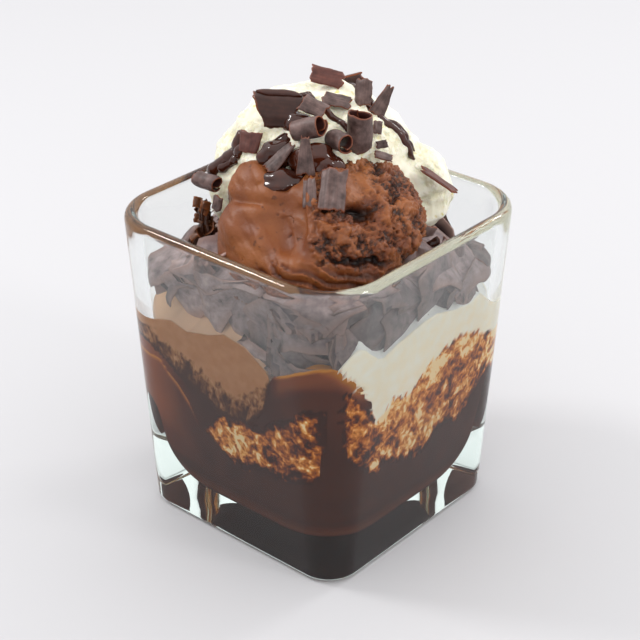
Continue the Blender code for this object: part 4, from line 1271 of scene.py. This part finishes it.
def thread_over(tree, shape, waypoints, radius):
    """A thread that follows a skin through bearings and heights seen from its centre."""
    route = []
    for start, end in zip(waypoints, waypoints[1:]):
        route += [tuple(a + (b - a) * k / 6 for a, b in zip(start, end)) for k in range(6)]
    route.append(waypoints[-1])
    return sauce_thread([on_skin(tree, shape, direction_of(*place)) for place in route], radius)


def pool_mesh(tree, shape, bearing, height, half, seed):
    """A flat drop that lies on the skin at a bearing and height."""
    bm = bmesh.new()
    bmesh.ops.create_icosphere(bm, subdivisions=5, radius=1.0)
    middle = SERVING_TURN.inverted() @ on_skin(tree, shape, direction_of(bearing, height))
    for vert in bm.verts:
        swell = 1 + 0.22 * noise.noise(vert.co * 1.3 + Vector((seed, 0, 0)))
        vert.co = SERVING_TURN @ (middle + vert.co * Vector(half) * swell) * MM
    mesh = bpy.data.meshes.new("pool")
    bm.to_mesh(mesh)
    bm.free()
    return mesh


def join_meshes(name, meshes, tone):
    """One piece of sauce from several closed meshes."""
    bm = bmesh.new()
    for mesh in meshes:
        bm.from_mesh(mesh)
    bmesh.ops.remove_doubles(bm, verts=bm.verts, dist=1e-6)
    bm.verts.ensure_lookup_table()
    points = [v.co / MM for v in bm.verts]
    faces = [tuple(v.index for v in face.verts) for face in bm.faces]
    bm.free()
    tones = [tone + 0.3 * max(noise.noise(point / 2.2), 0.0) for point in points]
    return make_piece(name, points, faces, sauce_material, {"tone": tones})


vanilla_skin, chocolate_skin = skin_of(vanilla_scoop), skin_of(chocolate_scoop)
# Bearings and heights in degrees that a thread passes through, then its radius.
THREADS = (
    (((27, 69), (-5, 65), (-21, 59), (-23, 45), (-21, 32), (-17, 17)), 0.95),
    (((20, 66), (-2, 60), (-15, 54), (-18, 42), (-17, 30), (-12, 20)), 0.75),
    (((-148, 40), (-150, 32), (-153, 26), (-160, 15), (-164, 8)), 1.7),
    (((-140, 36), (-146, 27), (-152, 20), (-160, 12)), 1.2),
    (((60, 62), (75, 48), (82, 34), (85, 24)), 0.9),
    (((-150, 74), (-110, 78), (-80, 66), (-66, 55), (-60, 46)), 0.85),
)
threads = [thread_over(vanilla_skin, VANILLA_SCOOP, *thread) for thread in THREADS]
# Sauce that collected along the upper edge of the large trough-shaped curl.
trough = next(curl for curl in CURLS if curl["name"] == "curl_glossy_trough")
trough_place = curl_placement(trough)
threads.append(sauce_thread([trough_place @ sheet_point(trough, -0.44, -0.45 + 0.09 * k, 0.5)
                             for k in range(11)], 0.85))
drizzle = join_meshes("sauce_drizzle_on_vanilla", threads, 0.12)
settle(drizzle, "chocolate_sauce")
# Each pool has a bearing and height in degrees, its half sizes and a seed.
blobs = [pool_mesh(chocolate_skin, CHOCOLATE_SCOOP, -159, 60, (5.4, 3.6, 3.0), 1.0),
         pool_mesh(vanilla_skin, VANILLA_SCOOP, -116, 34, (4.6, 3.0, 3.4), 5.0),
         pool_mesh(vanilla_skin, VANILLA_SCOOP, -108, 54, (3.6, 2.8, 2.4), 9.0)]
settle(join_meshes("thick_sauce_on_the_scoops", blobs, 0.08), "chocolate_sauce")
puddle = [pool_mesh(chocolate_skin, CHOCOLATE_SCOOP, -78, 86, (4.8, 3.4, 3.4), 2.0),
          pool_mesh(vanilla_skin, VANILLA_SCOOP, -91, 33, (5.8, 3.0, 3.8), 7.0)]
settle(join_meshes("thin_puddle_of_sauce", puddle, 0.20), "chocolate_sauce")

# %% [markdown]
# ## Floor, light and camera
# The light is bright and soft, as beside large windows.  A pale world lights everything
# evenly, and three square lamps add the highlights that make glass and sauce look wet.
# The floor is plain and pale.  The camera looks at the glass's front corner from above.

# %% Floor
bpy.ops.mesh.primitive_plane_add(size=6.0, location=(0, 0, -0.0002))
floor = bpy.context.object
floor.name = "floor"
floor_material, tree, shader = new_material("pale_matt_table", {
    "Base Color": "#C2C1C3", "Roughness": 0.6, "Specular IOR Level": 0.2})
floor.data.materials.append(floor_material)

# %% Light
world = bpy.data.worlds.new("pale_room")
world.use_nodes = True
tree = world.node_tree
sky = add_node(tree, "ShaderNodeTexCoord").outputs["Generated"]
height = add_node(tree, "ShaderNodeSeparateXYZ", inputs={"Vector": sky})
room = add_node(tree, "ShaderNodeValToRGB", {"stops": (
    (0.0, "#C6C7C8"), (0.15, "#CACBCC"), (0.4, "#F0F1F2"), (0.6, "#FBFBFC"),
    (1.0, "#FFFFFF"))}, {"Fac": height.outputs["Z"]})
fill_inputs(tree, tree.nodes["Background"], {"Color": room.outputs["Color"],
                                             "Strength": 1.36})
scene.world = world


def area_light(name, size, power, place, toward):
    light = bpy.data.lights.new(name, 'AREA')
    light.size = size
    light.energy = power
    lamp = bpy.data.objects.new(name, light)
    lamp.visible_transmission = False       # its caustics through glass would only be noise
    scene.collection.objects.link(lamp)
    lamp.location = place
    aim = Vector(toward) - Vector(place)
    lamp.rotation_euler = aim.to_track_quat('-Z', 'Y').to_euler()


# Each lamp's side in metres, its power in watts, its place, and what it is aimed at.
area_light("window", 0.14, 1.9, (-0.45, -0.25, 0.6), (0, 0, 0.06))
area_light("far_window", 0.14, 1.1, (0.15, 0.6, 0.5), (0, 0, 0.06))
area_light("side_window", 0.12, 0.9, (0.62, 0.12, 0.42), (0, 0, 0.07))

# Plain colour, as hex values are picked, and enough bounces for light to leave thick glass.
print("view transform was:", scene.view_settings.view_transform)
scene.view_settings.view_transform = 'Standard'
scene.cycles.max_bounces = 20
scene.cycles.glossy_bounces = 14
scene.cycles.transmission_bounces = 18

# %% Camera
AZIMUTH, ELEVATION = math.radians(40.85), math.radians(28.95)
DISTANCE = 430.3
LOOK_AT = Vector((0.0, 0.0, 49.5))
SIDE_SHIFT = 0.25
SENSOR_WIDTH, FOCAL_LENGTH = 36.0, 97.57
toward_camera = Vector((math.sin(AZIMUTH) * math.cos(ELEVATION),
                        -math.cos(AZIMUTH) * math.cos(ELEVATION), math.sin(ELEVATION)))
target = LOOK_AT + SIDE_SHIFT * Vector((math.cos(AZIMUTH), math.sin(AZIMUTH), 0))
camera_data = bpy.data.cameras.new("camera")
camera_data.sensor_width = SENSOR_WIDTH
camera_data.lens = FOCAL_LENGTH
camera = bpy.data.objects.new("camera", camera_data)
scene.collection.objects.link(camera)
camera.location = (target + toward_camera * DISTANCE) * MM
camera.rotation_euler = (-toward_camera).to_track_quat('-Z', 'Y').to_euler()
bpy.context.scene.camera = camera
